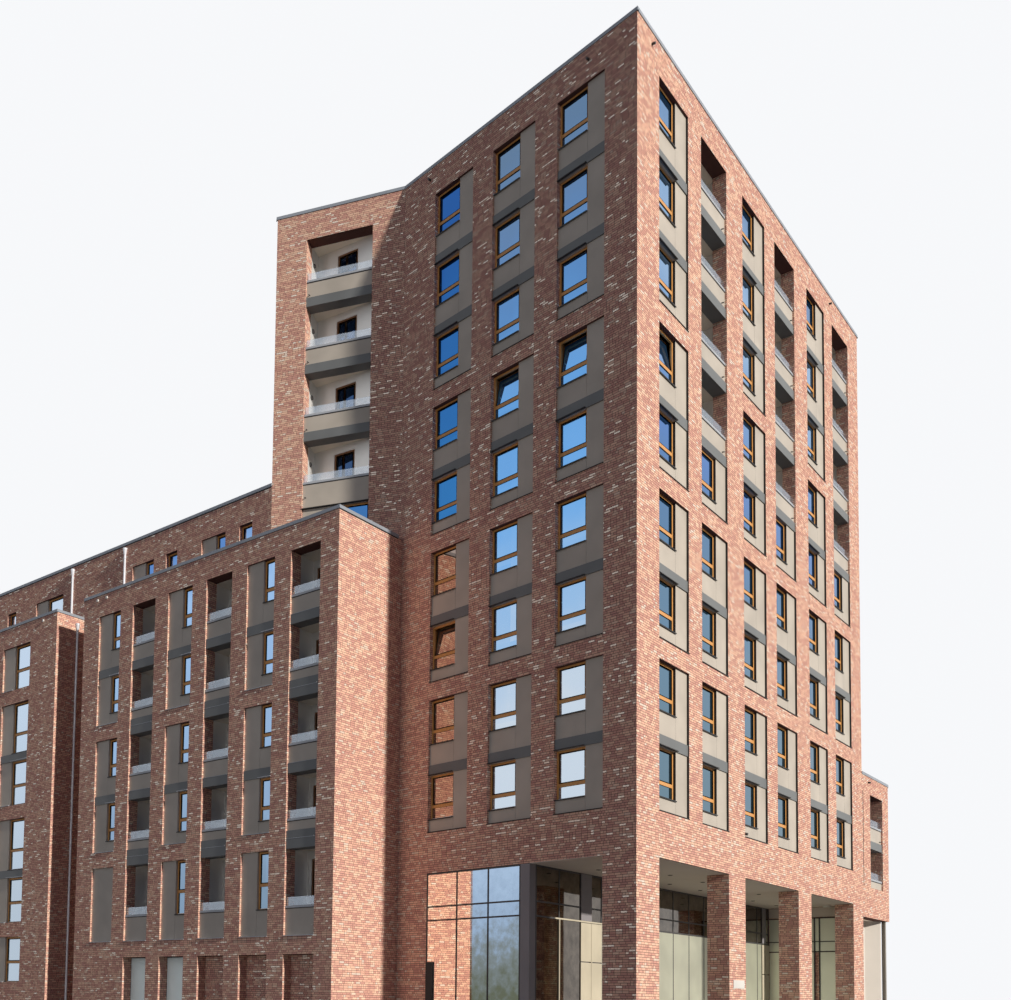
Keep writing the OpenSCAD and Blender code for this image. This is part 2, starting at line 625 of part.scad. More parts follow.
// Dark floor edges: a face plate before the panels, and the slab's own edge at a loggia. The
// lowest parapet of the return front covers its floor edge instead.
module floor_edge(z, deep, face = true) {
  back = face ? panel_back : panel_back + parapet_t + joint;
  if (face) translate([joint, panel_back - edge_t, z + joint])
    cube([$c[1] - 2 * joint, edge_t - 2 * joint, $edge - 2 * joint]);
  if (deep) translate([joint, back, z + joint])
    cube([$c[1] - 2 * joint, wall_t - back - joint, edge_h - 2 * joint]);
}
// Dark metal sill under a window
module window_sill() if (!$loggia && !$blank)
  translate([$x + 2 * joint, panel_back - edge_t, $sill - sill_t + joint])
    cube([$c[4] - 4 * joint, win_back + edge_t - panel_back + frame_d, sill_t - 2 * joint]);
module floor_edges() {
  if ($i > $g[0]) floor_edge(head($i - 1), $loggia, !$deep_panel);
  window_sill();
}
module tower_floor_edges() color(edge_grey) {
  on_storeys(tower_fronts) floor_edges();
  low_loggias() if ($i > 0) floor_edge(low_rows[0], true);
}
module wing_floor_edges() color(edge_grey) on_storeys(wing_fronts) floor_edges();

// Timber window: a fixed light below and a sash above
module window_frame(w, h, light) difference() {
  cube([w, frame_d, h]);
  translate([frame_w, -1, foot_rail_h])
    cube([w - 2 * frame_w, frame_d + 2, light - foot_rail_h]);
  translate([frame_w, -1, light + transom_h])
    cube([w - 2 * frame_w, frame_d + 2, h - light - transom_h - frame_w]);
}
module frames() if (!$loggia && !$blank) translate([$x + 2 * joint, win_back, $sill])
  window_frame($c[4] - 4 * joint, head($i) - $sill - joint, $light);
module tower_window_frames() color(timber) on_storeys(tower_fronts) frames();
module wing_window_frames() color(timber) on_storeys(wing_fronts) frames();
module panes() if (!$loggia && !$blank) translate([$x + 2 * joint, win_back + frame_d + joint / 2, $sill])
  cube([$c[4] - 4 * joint, pane_t, head($i) - $sill - joint]);
module tower_window_glass() color(glass_blue) on_storeys(tower_fronts) panes();
module wing_window_glass() color(glass_blue) on_storeys(wing_fronts) panes();

// The room of one loggia: its back wall starts at the opening's start, less side at each side
module loggia(floor, ceiling, foot, side) {
  turned = $c[6] == "return";
  $floor = floor;
  $ceiling = ceiling;
  $foot = foot;
  $rail = floor + parapet_h;
  $side0 = turned ? 0 : side;
  $depth = turned ? return_loggia_d : loggia_d;
  $twist = turned ? return_twist : 0;
  $room_w = turned ? (return_loggia_d - wall_t - 2 * joint) / sin(return_twist)
    : $c[1] + 2 * side;
  $door_w = turned ? return_door_w : door_w;
  $door_s = turned ? return_door_side : $room_w - door_side - door_w;
  children();
}
module low_loggias() for (k = [0:1]) on(low_f) translate([low_pier, 0, 0]) {
  $c = [low_pier, low_open_w, [], 0, 0, true, ""];
  $i = k;
  $edge = edge_h;
  floor = low_rows[k] - low_storey_h + edge_h;
  loggia(floor, low_rows[k] + edge_h - slab_t, k > 0 ? floor : low_foot_z,
    min(loggia_side, low_len - low_pier - low_open_w - wall_t - room_wall_t - joint)) children();
}
module all_loggias() {
  on_storeys(concat(tower_fronts, wing_fronts)) if ($loggia)
    loggia(floor_z($i), floor_z($i + 1) - slab_t,
      $deep_panel ? head($i - 1) : $i > $g[0] ? floor_z($i) : foot($g),
      $c[3] < 0 ? min(loggia_side, wing_pier - wall_t - room_wall_t) : loggia_side) children();
  low_loggias() children();
}
// Solid metal parapet on the floor edge
module loggia_parapets() color(panel_grey) all_loggias() {
  z = $foot + joint;
  translate([joint, panel_back, z]) cube([$c[1] - 2 * joint, parapet_t, $rail - z]);
}
// Metal cap rail on the parapet, and the glass that stands on it
module loggia_rails() color(edge_grey) all_loggias()
  translate([joint, panel_back - rail_over, $rail + joint])
    cube([$c[1] - 2 * joint, parapet_t + 2 * rail_over, rail_h - joint]);
module loggia_balustrades() color(glass_blue) all_loggias()
  translate([joint, panel_back + parapet_t / 2, $rail + rail_h + joint])
    cube([$c[1] - 2 * joint, pane_t, balustrade_h]);
// White rooms behind the brick: two side walls, a back wall beside and over its window
module in_room() translate([-$side0, $depth, 0]) rotate([0, 0, -$twist]) children();
module loggia_walls() color(render_white) all_loggias() {
  z0 = $floor + joint;
  h = $ceiling - joint - z0;
  past = $door_s + $door_w;
  for (x = $twist > 0 ? [-room_wall_t] : [-$side0 - room_wall_t, $room_w - $side0])
    translate([x, wall_t + joint, z0])
      cube([room_wall_t - joint, $depth + room_wall_t - wall_t - joint, h]);
  in_room() translate([0, 0, z0]) {
    cube([$door_s - joint, room_wall_t, h]);
    translate([past + joint, 0, 0]) cube([$room_w - past - 2 * joint, room_wall_t, h]);
    translate([$door_s + joint, 0, h - door_lintel])
      cube([$door_w - 2 * joint, room_wall_t, door_lintel]);
  }
}
module in_loggia_window() all_loggias() in_room()
  translate([$door_s + 2 * joint, room_wall_t / 4, $floor + joint]) {
    $dh = $ceiling - door_lintel - $floor - 4 * joint;
    children();
  }
module loggia_window_frames() color(timber) in_loggia_window() difference() {
  cube([$door_w - 4 * joint, frame_d, $dh]);
  translate([frame_w, -1, frame_w])
    cube([$door_w - 2 * frame_w, frame_d + 2, $dh - 2 * frame_w]);
}
module loggia_window_glass() color(glass_blue) in_loggia_window()
  translate([0, frame_d + joint, 0]) cube([$door_w - 4 * joint, pane_t, $dh]);

// Glazed ground bays at the wing's inner end
module ground_bays() for (k = [1:2]) on(wing_f)
  translate([wing_cols[k][0] + joint, wall_t - frame_d - pane_t - 2 * joint, 0]) children();
module ground_doors() color(edge_grey) ground_bays() difference() {
  cube([wing_open_w - 2 * joint, frame_d, ground_head_z - joint]);
  for (x = [0, 1]) translate([frame_w + x * (wing_open_w - frame_w) / 2, -1, frame_w])
    cube([(wing_open_w - 3 * frame_w) / 2, frame_d + 2, ground_head_z - 2 * frame_w]);
}
module ground_glass() color(glass_blue) ground_bays() translate([0, frame_d + joint, 0])
  cube([wing_open_w - 2 * joint, pane_t, ground_head_z - joint]);

module downpipes() color([0.85, 0.87, 0.9]) {
  r = pipe_d / 2;
  translate([end_right + r + joint, set_y - recess_pipe, 0])
    cylinder(d = pipe_d, h = wing_top - recess_pipe_drop);
  for (x = [wing_left + wing_pipe, end_right - end_pipe])
    translate([x, set_y - r - joint, wing_deck])
      cylinder(d = pipe_d, h = setback_top - pipe_drop - wing_deck);
}

module at_centre() translate(-centre) children();
at_centre() {
  arcade_pillars();
  street_wall();
  square_wall();
  return_wall();
  rear_wall();
  court_wall();
  wing_front_wall();
  wing_side_wall();
  recess_walls();
  end_block_wall();
  party_wall();
  setback_wall();
  wing_rear_wall();
  low_block_walls();
  low_ground_walls();
  steel_post();
  ground_infill();
  tower_floors();
  wing_floors();
  low_block_floors();
  tower_coping();
  wing_coping();
  setback_coping();
  low_block_coping();
  arcade_soffit();
  hall_frame();
  hall_glass();
  hall_corner_post();
  tower_panels();
  wing_panels();
  tower_floor_edges();
  wing_floor_edges();
  tower_window_frames();
  wing_window_frames();
  tower_window_glass();
  wing_window_glass();
  loggia_parapets();
  loggia_rails();
  loggia_balustrades();
  loggia_walls();
  loggia_window_frames();
  loggia_window_glass();
  ground_doors();
  ground_glass();
  downpipes();
}
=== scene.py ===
import math

import bmesh
import bpy
from mathutils import Matrix, Vector


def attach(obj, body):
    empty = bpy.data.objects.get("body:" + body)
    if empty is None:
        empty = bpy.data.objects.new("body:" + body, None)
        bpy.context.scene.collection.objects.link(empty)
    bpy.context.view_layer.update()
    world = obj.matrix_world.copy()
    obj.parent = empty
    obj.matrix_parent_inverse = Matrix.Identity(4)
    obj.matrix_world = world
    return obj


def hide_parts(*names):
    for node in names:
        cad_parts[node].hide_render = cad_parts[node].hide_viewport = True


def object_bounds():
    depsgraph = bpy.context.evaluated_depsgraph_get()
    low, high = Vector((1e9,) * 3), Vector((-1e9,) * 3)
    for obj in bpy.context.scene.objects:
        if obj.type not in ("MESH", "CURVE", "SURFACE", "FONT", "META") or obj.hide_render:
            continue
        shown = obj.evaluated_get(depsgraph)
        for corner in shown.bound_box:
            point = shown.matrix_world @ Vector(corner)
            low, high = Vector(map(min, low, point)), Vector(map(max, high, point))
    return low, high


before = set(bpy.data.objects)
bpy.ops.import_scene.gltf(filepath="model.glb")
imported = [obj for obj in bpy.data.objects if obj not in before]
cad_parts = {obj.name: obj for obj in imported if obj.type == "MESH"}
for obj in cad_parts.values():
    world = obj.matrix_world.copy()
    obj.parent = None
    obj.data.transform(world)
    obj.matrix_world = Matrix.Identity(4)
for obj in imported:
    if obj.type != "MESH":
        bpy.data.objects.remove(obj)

CAD_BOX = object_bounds()
LOW, HIGH = CAD_BOX

# Sizes of the building, in metres, as the construction has them
STOREY = 2.925
FIRST_HEAD = 10.235  # height of the window heads of storey 0
WINDOW_RISE = 1.7  # a window's usual height above its sill
ARCADE = 6.438  # height of the arcade's soffit
WALL = 0.56
PANEL_BACK = 0.085  # how far the panels lie behind the brick
FRAME_DEEP = 0.07
FRAME_WIDE = 0.075
FOOT_RAIL = 0.03
LIGHT = 0.44  # top of the fixed light under the transom
TALL_LIGHT = 0.90
TALL_WINDOW = 1.9  # windows above this height have the tall light
TRANSOM = 0.12
HALL_BACK = 4.37  # the hall's glass behind the street front
STREET_END = 23.55
RECESS = -28.0  # middle of the slot between the wing and the end block
WING_FRONT = -2.25
COPING_OVER = 0.03
PARAPET = 0.69

# Up, and the directions in which the fronts run
UP = Vector((0.0, 0.0, 1.0))
STREET_ALONG = Vector((0.0, 1.0, 0.0))
WING_ALONG = Vector((1.0, 0.0, 0.0))
SQUARE_TURN = math.radians(-7.86)
SQUARE_ALONG = Vector((math.cos(SQUARE_TURN), math.sin(SQUARE_TURN), 0.0))
RETURN_ALONG = Vector((0.9353, 0.3539, 0.0))

# The street corner's foot, from which the plan is measured
CORNER = Vector((HIGH.x - COPING_OVER, LOW.y + COPING_OVER - WING_FRONT, 0.0))
TOWER_MIDDLE = CORNER + Vector((-8.3, 12.0, 0.0))
WING_MIDDLE = CORNER + Vector((-25.0, 5.0, 0.0))

# Where the painted reflection of the wing on the hall's front panes begins, from the corner
WARM_PANES = -7.15

# The facing brick's pattern: sizes, then the shares of stretchers and of red and brown faces
BRICK_LENGTH = 0.252
COURSE = 0.0833333
MORTAR = 0.013
STRETCHERS = 0.72
PLAIN_FACES = 0.925

# How far shade, grain and weather colour a face; a pale face's middle in its course, half
# its height and how ragged its edge is; and how mirror-like and rough its glaze is
SHADE, GRAIN, WEATHER = 0.28, 0.30, 0.20
PALE_MIDDLE, PALE_HALF, PALE_RAGGED = 0.57, 0.27, 0.10
GLAZE, MATT, GLAZE_SMOOTHS = 0.34, 0.88, 0.38

# Rows below the ground and metres before the corner from which the bricks are counted
ROWS_BELOW = 40.0
RUN_BEFORE = 60.0

# The facing brick's colours
BRICK_TONES = [
    (0.0, (0.650, 0.355, 0.285)), (0.22, (0.810, 0.490, 0.370)),
    (0.50, (0.890, 0.590, 0.435)), (0.72, (0.640, 0.350, 0.290)),
    (0.84, (0.910, 0.660, 0.500)), (0.905, (0.870, 0.670, 0.535))]
DARK_BRICK = (0.390, 0.205, 0.180)
BRICK_GRAIN = (0.52, 0.48, 0.46)
WEATHERED = (0.62, 0.355, 0.270)
PALE_FACE = (0.76, 0.62, 0.51)
PALER_FACE = (0.80, 0.72, 0.63)
JOINT = (0.120, 0.070, 0.066)
# Painted shade for the brick faces that look down
PAINTED_UNDERSIDE_SHADE = (0.110, 0.055, 0.048)

# Dust on metal sheet, and how wide a pane is taken to be where its tint changes
DUST = (0.5, 0.47, 0.43)
DUST_SHARE = 0.08
PANE_PITCH = 1.2


# Node trees

def material(name, rough, metal=0.0, coat=0.0, gloss=0.5):
    """A new material with a Principled shader, and what is needed to wire it."""
    made = bpy.data.materials.new(name)
    made.use_nodes = True
    tree = made.node_tree
    shader = tree.nodes["Principled BSDF"]
    shader.inputs["Roughness"].default_value = rough
    shader.inputs["Metallic"].default_value = metal
    shader.inputs["Coat Weight"].default_value = coat
    shader.inputs["Specular IOR Level"].default_value = gloss
    return made, tree, shader


class Wires:
    """Short names for the nodes of one tree."""

    # The sockets of a mix node that take and give colours, which share their names with others
    SHARE, FIRST, SECOND, MIXED = 0, 6, 7, 2

    def __init__(self, tree):
        self.tree = tree

    def node(self, kind, **settings):
        made = self.tree.nodes.new(kind)
        for key, value in settings.items():
            setattr(made, key, value)
        return made

    def link(self, a, b):
        self.tree.links.new(a, b)

    def put(self, socket, value):
        if isinstance(value, bpy.types.NodeSocket):
            self.link(value, socket)
        else:
            socket.default_value = value

    def math(self, operation, *values):
        made = self.node("ShaderNodeMath", operation=operation)
        for socket, value in zip(made.inputs, values):
            self.put(socket, value)
        return made.outputs[0]

    def plus(self, a, b):
        return self.math("ADD", a, b)

    def minus(self, a, b):
        return self.math("SUBTRACT", a, b)

    def times(self, a, b):
        return self.math("MULTIPLY", a, b)

    def over(self, a, b):
        return self.math("DIVIDE", a, b)

    def above(self, a, b):
        """One where a is greater than b, else nought."""
        return self.math("GREATER_THAN", a, b)

    def below(self, a, b):
        """One where a is less than b, else nought."""
        return self.math("LESS_THAN", a, b)

    def vector(self, operation, *values):
        made = self.node("ShaderNodeVectorMath", operation=operation)
        for socket, value in zip(made.inputs, values):
            self.put(socket, value)
        return made.outputs["Value" if operation == "DOT_PRODUCT" else "Vector"]

    def join(self, x, y, z):
        made = self.node("ShaderNodeCombineXYZ")
        for socket, value in zip(made.inputs, (x, y, z)):
            self.put(socket, value)
        return made.outputs[0]

    def split(self, value):
        made = self.node("ShaderNodeSeparateXYZ")
        self.put(made.inputs[0], value)
        return made.outputs

    def noise(self, where, scale, detail=2.0, rough=0.5):
        made = self.node("ShaderNodeTexNoise")
        self.put(made.inputs["Vector"], where)
        made.inputs["Scale"].default_value = scale
        made.inputs["Detail"].default_value = detail
        made.inputs["Roughness"].default_value = rough
        return made.outputs["Fac"]

    def dice(self, where):
        """An even random number for each whole-number place."""
        made = self.node("ShaderNodeTexWhiteNoise", noise_dimensions="3D")
        self.put(made.inputs["Vector"], where)
        return made.outputs["Value"]

    def ramp(self, value, stops, interpolation="LINEAR"):
        made = self.node("ShaderNodeValToRGB")
        band = made.color_ramp
        band.interpolation = interpolation
        band.elements[0].position = stops[0][0]
        band.elements[0].color = (*stops[0][1], 1)
        band.elements[1].position = stops[-1][0]
        band.elements[1].color = (*stops[-1][1], 1)
        for place, colour in stops[1:-1]:
            band.elements.new(place).color = (*colour, 1)
        self.put(made.inputs[0], value)
        return made.outputs[0]

    def mix(self, share, first, second, blend="MIX"):
        made = self.node("ShaderNodeMix", data_type="RGBA", blend_type=blend)
        self.put(made.inputs[self.SHARE], share)
        for place, colour in ((self.FIRST, first), (self.SECOND, second)):
            self.put(made.inputs[place], (*colour, 1) if isinstance(colour, tuple) else colour)
        return made.outputs[self.MIXED]

    def bump(self, height, strength, distance):
        made = self.node("ShaderNodeBump")
        made.inputs["Strength"].default_value = strength
        made.inputs["Distance"].default_value = distance
        self.put(made.inputs["Height"], height)
        return made.outputs[0]

    def bowed(self, place):
        """The faint bow of a glass pane, as a normal."""
        return self.bump(self.noise(place, 0.9, 1.0), 0.06, 0.02)

    def place(self):
        return self.node("ShaderNodeTexCoord").outputs["Object"]

    def facing(self):
        return self.node("ShaderNodeNewGeometry").outputs["True Normal"]

    def wall_place(self):
        """Distance along the wall, height, and the place in the building."""
        place = self.place()
        normal = self.facing()
        along = self.vector("NORMALIZE", self.vector("CROSS_PRODUCT", tuple(UP), normal))
        _, _, up = self.split(normal)
        flat = self.above(self.math("ABSOLUTE", up), 0.5)
        x, y, z = self.split(place)
        run = self.vector("DOT_PRODUCT", place, along)
        upright = self.minus(1.0, flat)
        u = self.plus(self.times(run, upright), self.times(x, flat))
        v = self.plus(self.times(z, upright), self.times(y, flat))
        return u, v, place


def brick_material():
    """Wild-bond facing brick: one tone a brick, scattered pale bricks and dark joints."""
    made, tree, shader = material("facing_brick", 0.85, gloss=0.08)
    w = Wires(tree)
    u, v, place = w.wall_place()

    # The brick at each place: its row, its number along the row and which half of a cut one
    courses = w.over(w.plus(v, ROWS_BELOW * COURSE), COURSE)
    row = w.math("FLOOR", courses)
    rise = w.math("FRACT", courses)
    shift = w.over(w.math("FLOOR", w.times(w.dice(w.join(row, 7.0, 3.0)), 4.0)), 4.0)
    length = w.plus(w.over(w.plus(u, RUN_BEFORE), BRICK_LENGTH), shift)
    cell = w.math("FLOOR", length)
    run = w.math("FRACT", length)
    cut = w.above(w.dice(w.join(cell, row, 11.0)), STRETCHERS)
    brick = w.join(cell, row, w.times(cut, w.above(run, 0.5)))

    # Its face
    tone = w.dice(w.vector("ADD", brick, (0.0, 0.0, 31.0)))
    shade = w.dice(w.vector("ADD", brick, (0.0, 0.0, 53.0)))
    colour = w.ramp(tone, BRICK_TONES, "CONSTANT")
    colour = w.mix(w.times(shade, SHADE), colour, DARK_BRICK)
    grain = w.noise(place, 55.0, 4.0, 0.6)
    colour = w.mix(w.times(grain, GRAIN), colour, BRICK_GRAIN, "OVERLAY")
    weather = w.noise(place, 0.35, 3.0)
    colour = w.mix(w.times(weather, WEATHER), colour, WEATHERED)
    belly = w.plus(w.math("ABSOLUTE", w.minus(rise, PALE_MIDDLE)),
                   w.times(w.minus(grain, 0.5), PALE_RAGGED))
    pale = w.times(w.above(tone, PLAIN_FACES), w.below(belly, PALE_HALF))
    colour = w.mix(pale, colour, w.mix(shade, PALE_FACE, PALER_FACE))

    # The joints around it
    side = w.times(w.math("ABSOLUTE", w.minus(run, 0.5)), 2.0)
    halves = w.times(cut, w.minus(1.0, side))
    end = w.above(w.math("MAXIMUM", side, halves), 1.0 - MORTAR / BRICK_LENGTH)
    bed = w.below(rise, MORTAR / COURSE)
    joint = w.math("MAXIMUM", end, bed)
    face = w.minus(1.0, joint)
    colour = w.mix(joint, colour, JOINT)
    # Faces that look down take the painted shade
    _, _, up = w.split(w.facing())
    colour = w.mix(w.below(up, -0.5), colour, PAINTED_UNDERSIDE_SHADE)
    w.link(colour, shader.inputs["Base Color"])
    glazed = w.times(pale, face)
    w.link(w.times(glazed, GLAZE), shader.inputs["Metallic"])
    w.link(w.minus(MATT, w.times(glazed, GLAZE_SMOOTHS)), shader.inputs["Roughness"])
    w.link(w.bump(w.plus(face, w.times(grain, 0.25)), 0.6, 0.006), shader.inputs["Normal"])
    return made


def sheet_material(name, colour, rough, metal=0.0, waver=0.05, gloss=0.18):
    """Coated metal sheet: a faint waver, dust and a fine grain."""
    made, tree, shader = material(name, rough, metal=metal, gloss=gloss)
    w = Wires(tree)
    place = w.place()
    broad, fine = w.noise(place, 0.8), w.noise(place, 90.0)
    dark = tuple(c * (1 - waver * 2) for c in colour)
    light = tuple(min(1.0, c * (1 + waver * 2)) for c in colour)
    tone = w.ramp(broad, [(0.3, dark), (0.7, light)])
    tone = w.mix(w.times(fine, DUST_SHARE), tone, DUST)
    w.link(tone, shader.inputs["Base Color"])
    w.link(w.plus(rough - 0.06, w.times(broad, 0.12)), shader.inputs["Roughness"])
    w.link(w.bump(broad, 0.15, 0.02), shader.inputs["Normal"])
    return made


def timber_material(name, dark, middle, light):
    """Oiled timber with its grain drawn out across the height."""
    made, tree, shader = material(name, 0.45, coat=0.1, gloss=0.3)
    w = Wires(tree)
    u, v, _ = w.wall_place()
    grain = w.noise(w.join(w.times(u, 30.0), w.times(v, 3.0), 0.0), 2.0, 5.0)
    tone = w.ramp(grain, [(0.3, dark), (0.55, middle), (0.75, light)])
    w.link(tone, shader.inputs["Base Color"])
    w.link(w.bump(grain, 0.2, 0.002), shader.inputs["Normal"])
    return made


def pane_material(name, stops, coat=0.12):
    """Mirror-coated glazing, a little bowed, whose painted reflection shifts with height and pane
    to pane.
    """
    made, tree, shader = material(name, 0.03, metal=0.9, coat=coat)
    w = Wires(tree)
    u, v, place = w.wall_place()
    cell = w.join(w.math("FLOOR", w.over(u, PANE_PITCH)), w.math("FLOOR", w.over(v, STOREY)), 2.0)
    tone = w.plus(w.times(w.dice(cell), 1.6), w.times(w.noise(place, 0.6), 3.0))
    height = w.over(w.plus(v, w.minus(tone, 2.3)), HIGH.z)
    w.link(w.ramp(height, stops), shader.inputs["Base Color"])
    shader.inputs["Coat IOR"].default_value = 1.6
    shader.inputs["Coat Roughness"].default_value = 0.02
    w.link(w.bowed(place), shader.inputs["Normal"])
    return made


def plaster_material(name, colour):
    """Fine render or painted board, in patches a little darker."""
    made, tree, shader = material(name, 0.85)
    w = Wires(tree)
    place = w.place()
    broad, fine = w.noise(place, 0.6, 3.0), w.noise(place, 140.0, 3.0)
    dark = tuple(c * 0.86 for c in colour)
    w.link(w.mix(broad, dark, colour), shader.inputs["Base Color"])
    w.link(w.bump(fine, 0.25, 0.002), shader.inputs["Normal"])
    return made


def hall_pane_material():
    """The hall's tall panes, with painted reflections: warm where they face the wing, cooler and
    mottled elsewhere.
    """
    made, tree, shader = material("hall_pane", 0.03, metal=0.95)
    w = Wires(tree)
    place = w.place()
    x, _, z = w.split(place)
    streetward, _, _ = w.split(w.facing())
    mottle = w.noise(place, 2.6, 5.0, 0.65)
    height = w.plus(w.over(z, ARCADE), w.times(w.minus(mottle, 0.5), 0.7))
    # Painted reflections: a dark foot under the sky's blue, and the warm wing on the panes that
    # face it
    cool = w.ramp(height, [(0.25, (0.13, 0.145, 0.10)), (0.50, (0.22, 0.26, 0.27)),
                           (0.72, (0.34, 0.46, 0.62)), (1.0, (0.42, 0.56, 0.74))])
    warm = w.below(x, CORNER.x + WARM_PANES)
    front = w.mix(warm, cool, (0.98, 0.88, 0.80))
    dark = w.ramp(mottle, [(0.3, (0.10, 0.085, 0.072)), (0.7, (0.20, 0.170, 0.140))])
    w.link(w.mix(w.above(streetward, 0.9), front, dark), shader.inputs["Base Color"])
    w.link(w.bowed(place), shader.inputs["Normal"])
    return made


def clear_material():
    """Clear balustrade glass with a slight sky-blue veil."""
    made, tree, shader = material("balustrade_glass", 0.05, metal=0.8)
    w = Wires(tree)
    veil = w.noise(w.place(), 1.3)
    w.link(w.ramp(veil, [(0.3, (0.60, 0.69, 0.80)), (0.7, (0.68, 0.77, 0.87))]),
           shader.inputs["Base Color"])
    shader.inputs["Alpha"].default_value = 0.26
    return made


def roof_material():
    """Roofing felt with its laps every metre and fine grit."""
    made, tree, shader = material("roofing_felt", 0.9)
    w = Wires(tree)
    place = w.place()
    x, _, _ = w.split(place)
    lap = w.below(w.math("FRACT", x), 0.02)
    grit = w.noise(place, 60.0, 3.0)
    tone = w.ramp(grit, [(0.35, (0.085, 0.088, 0.092)), (0.65, (0.135, 0.137, 0.14))])
    tone = w.mix(w.times(w.noise(place, 0.4, 3.0), 0.4), tone, (0.19, 0.185, 0.175))
    w.link(w.mix(lap, tone, (0.05, 0.05, 0.052)), shader.inputs["Base Color"])
    w.link(w.bump(w.plus(grit, lap), 0.5, 0.004), shader.inputs["Normal"])
    return made


BRICK = brick_material()
PANEL = sheet_material("taupe_panel", (0.480, 0.438, 0.380), 0.45)
EDGE = sheet_material("anthracite_edge", (0.150, 0.162, 0.168), 0.42)
COPING = sheet_material("zinc_grey_coping", (0.29, 0.325, 0.375), 0.45, metal=0.10)
RAIL = sheet_material("pale_grey_rail", (0.40, 0.43, 0.47), 0.45, metal=0.10)
LINING = sheet_material("white_lining", (0.82, 0.82, 0.80), 0.52, metal=0.50, waver=0.02)
STEEL = sheet_material("dark_steel", (0.050, 0.050, 0.053), 0.40)
GREY_STEEL = sheet_material("grey_steel", (0.27, 0.25, 0.21), 0.40)
POST = sheet_material("hall_post_sheet", (0.235, 0.225, 0.240), 0.45)
GASKET = sheet_material("black_gasket", (0.016, 0.016, 0.018), 0.6, gloss=0.2)
PIPE = sheet_material("white_steel", (0.66, 0.68, 0.73), 0.70, metal=0.5)
CREAM = sheet_material("cream_panel", (0.52, 0.475, 0.365), 0.5)
FROSTED = sheet_material("frosted_pane", (0.66, 0.68, 0.55), 0.45, metal=0.75, waver=0.04)
PALE_PANE = sheet_material("pale_pane", (0.70, 0.78, 0.79), 0.85, metal=0.60, waver=0.03)
LAMP = sheet_material("lamp_glass", (0.66, 0.65, 0.62), 0.4)
TIMBER = timber_material(
    "oiled_timber", (0.50, 0.225, 0.070), (0.66, 0.330, 0.105), (0.72, 0.40, 0.15))
# A darker copy of the timber: painted shade for the loggia frames, which stand in shadow
SHADED_TIMBER = timber_material(
    "timber_with_painted_shade", (0.17, 0.085, 0.040), (0.24, 0.115, 0.050), (0.30, 0.15, 0.065))
# The window panes' colours are painted reflections of the sky and the buildings about, by height
STREET_PANE = pane_material("street_pane", [
    (0.26, (0.10, 0.20, 0.27)), (0.42, (0.09, 0.21, 0.33)), (0.54, (0.05, 0.18, 0.36)),
    (0.63, (0.04, 0.18, 0.52)), (0.72, (0.12, 0.30, 0.58)), (0.82, (0.26, 0.44, 0.68)),
    (0.89, (0.14, 0.32, 0.58)), (0.96, (0.02, 0.15, 0.38))])
DEEP_PANE = pane_material(
    "deep_pane", [(0.5, (0.035, 0.22, 0.54)), (0.9, (0.006, 0.095, 0.36))], coat=0.0)
SQUARE_PANE = pane_material("square_pane", [
    (0.34, (0.66, 0.76, 0.86)), (0.44, (0.36, 0.58, 0.86)), (0.54, (0.18, 0.46, 0.88)),
    (0.66, (0.13, 0.38, 0.78)), (0.78, (0.10, 0.27, 0.58)), (0.88, (0.12, 0.24, 0.45)),
    (0.96, (0.11, 0.21, 0.36))])
WING_PANE = pane_material("wing_pane", [
    (0.12, (0.20, 0.30, 0.40)), (0.30, (0.32, 0.48, 0.70)), (0.55, (0.36, 0.58, 0.90)),
    (0.62, (0.10, 0.26, 0.62))])
END_PANE = pane_material("end_pane", [(0.15, (0.50, 0.60, 0.70)), (0.5, (0.60, 0.74, 0.90))])
# A painted reflection of the wing's brick, for the lower panes of the square front's inner
# columns
PAINTED_WING_REFLECTION_PANE = pane_material(
    "painted_wing_reflection_pane", [(0.25, (0.44, 0.34, 0.29)), (0.6, (0.34, 0.26, 0.22))])
LOGGIA_PANE = pane_material(
    "loggia_pane", [(0.1, (0.03, 0.07, 0.16)), (0.9, (0.03, 0.08, 0.20))])
HALL_PANE = hall_pane_material()
BALUSTRADE = clear_material()
RENDER = plaster_material("white_render", (0.68, 0.64, 0.58))
BOARD = plaster_material("soffit_board", (0.70, 0.63, 0.57))
SLAB = sheet_material("painted_ceiling", (0.84, 0.79, 0.70), 0.88, metal=0.60, waver=0.03)
ROOF = roof_material()

# What the nodes that are shown as built are finished with
FINISHES = {
    BRICK: "arcade_pillars street_wall square_wall return_wall rear_wall court_wall "
           "wing_front_wall wing_side_wall recess_walls end_block_wall party_wall setback_wall "
           "wing_rear_wall low_block_walls ground_infill",
    SLAB: "tower_floors wing_floors low_block_floors",
    BOARD: "arcade_soffit",
    RENDER: "low_ground_walls",
    LINING: "loggia_walls",
    PANEL: "tower_panels wing_panels loggia_parapets",
    EDGE: "tower_floor_edges wing_floor_edges",
    STEEL: "hall_frame ground_doors",
    GREY_STEEL: "steel_post",
    POST: "hall_corner_post",
    COPING: "tower_coping wing_coping setback_coping low_block_coping",
    RAIL: "loggia_rails",
    TIMBER: "tower_window_frames wing_window_frames",
    SHADED_TIMBER: "loggia_window_frames",
    BALUSTRADE: "loggia_balustrades",
    PALE_PANE: "ground_glass",
    PIPE: "downpipes",
}
for finish, names in FINISHES.items():
    for name in names.split():
        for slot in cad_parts[name].material_slots:
            slot.material = finish


# Where the pieces stand

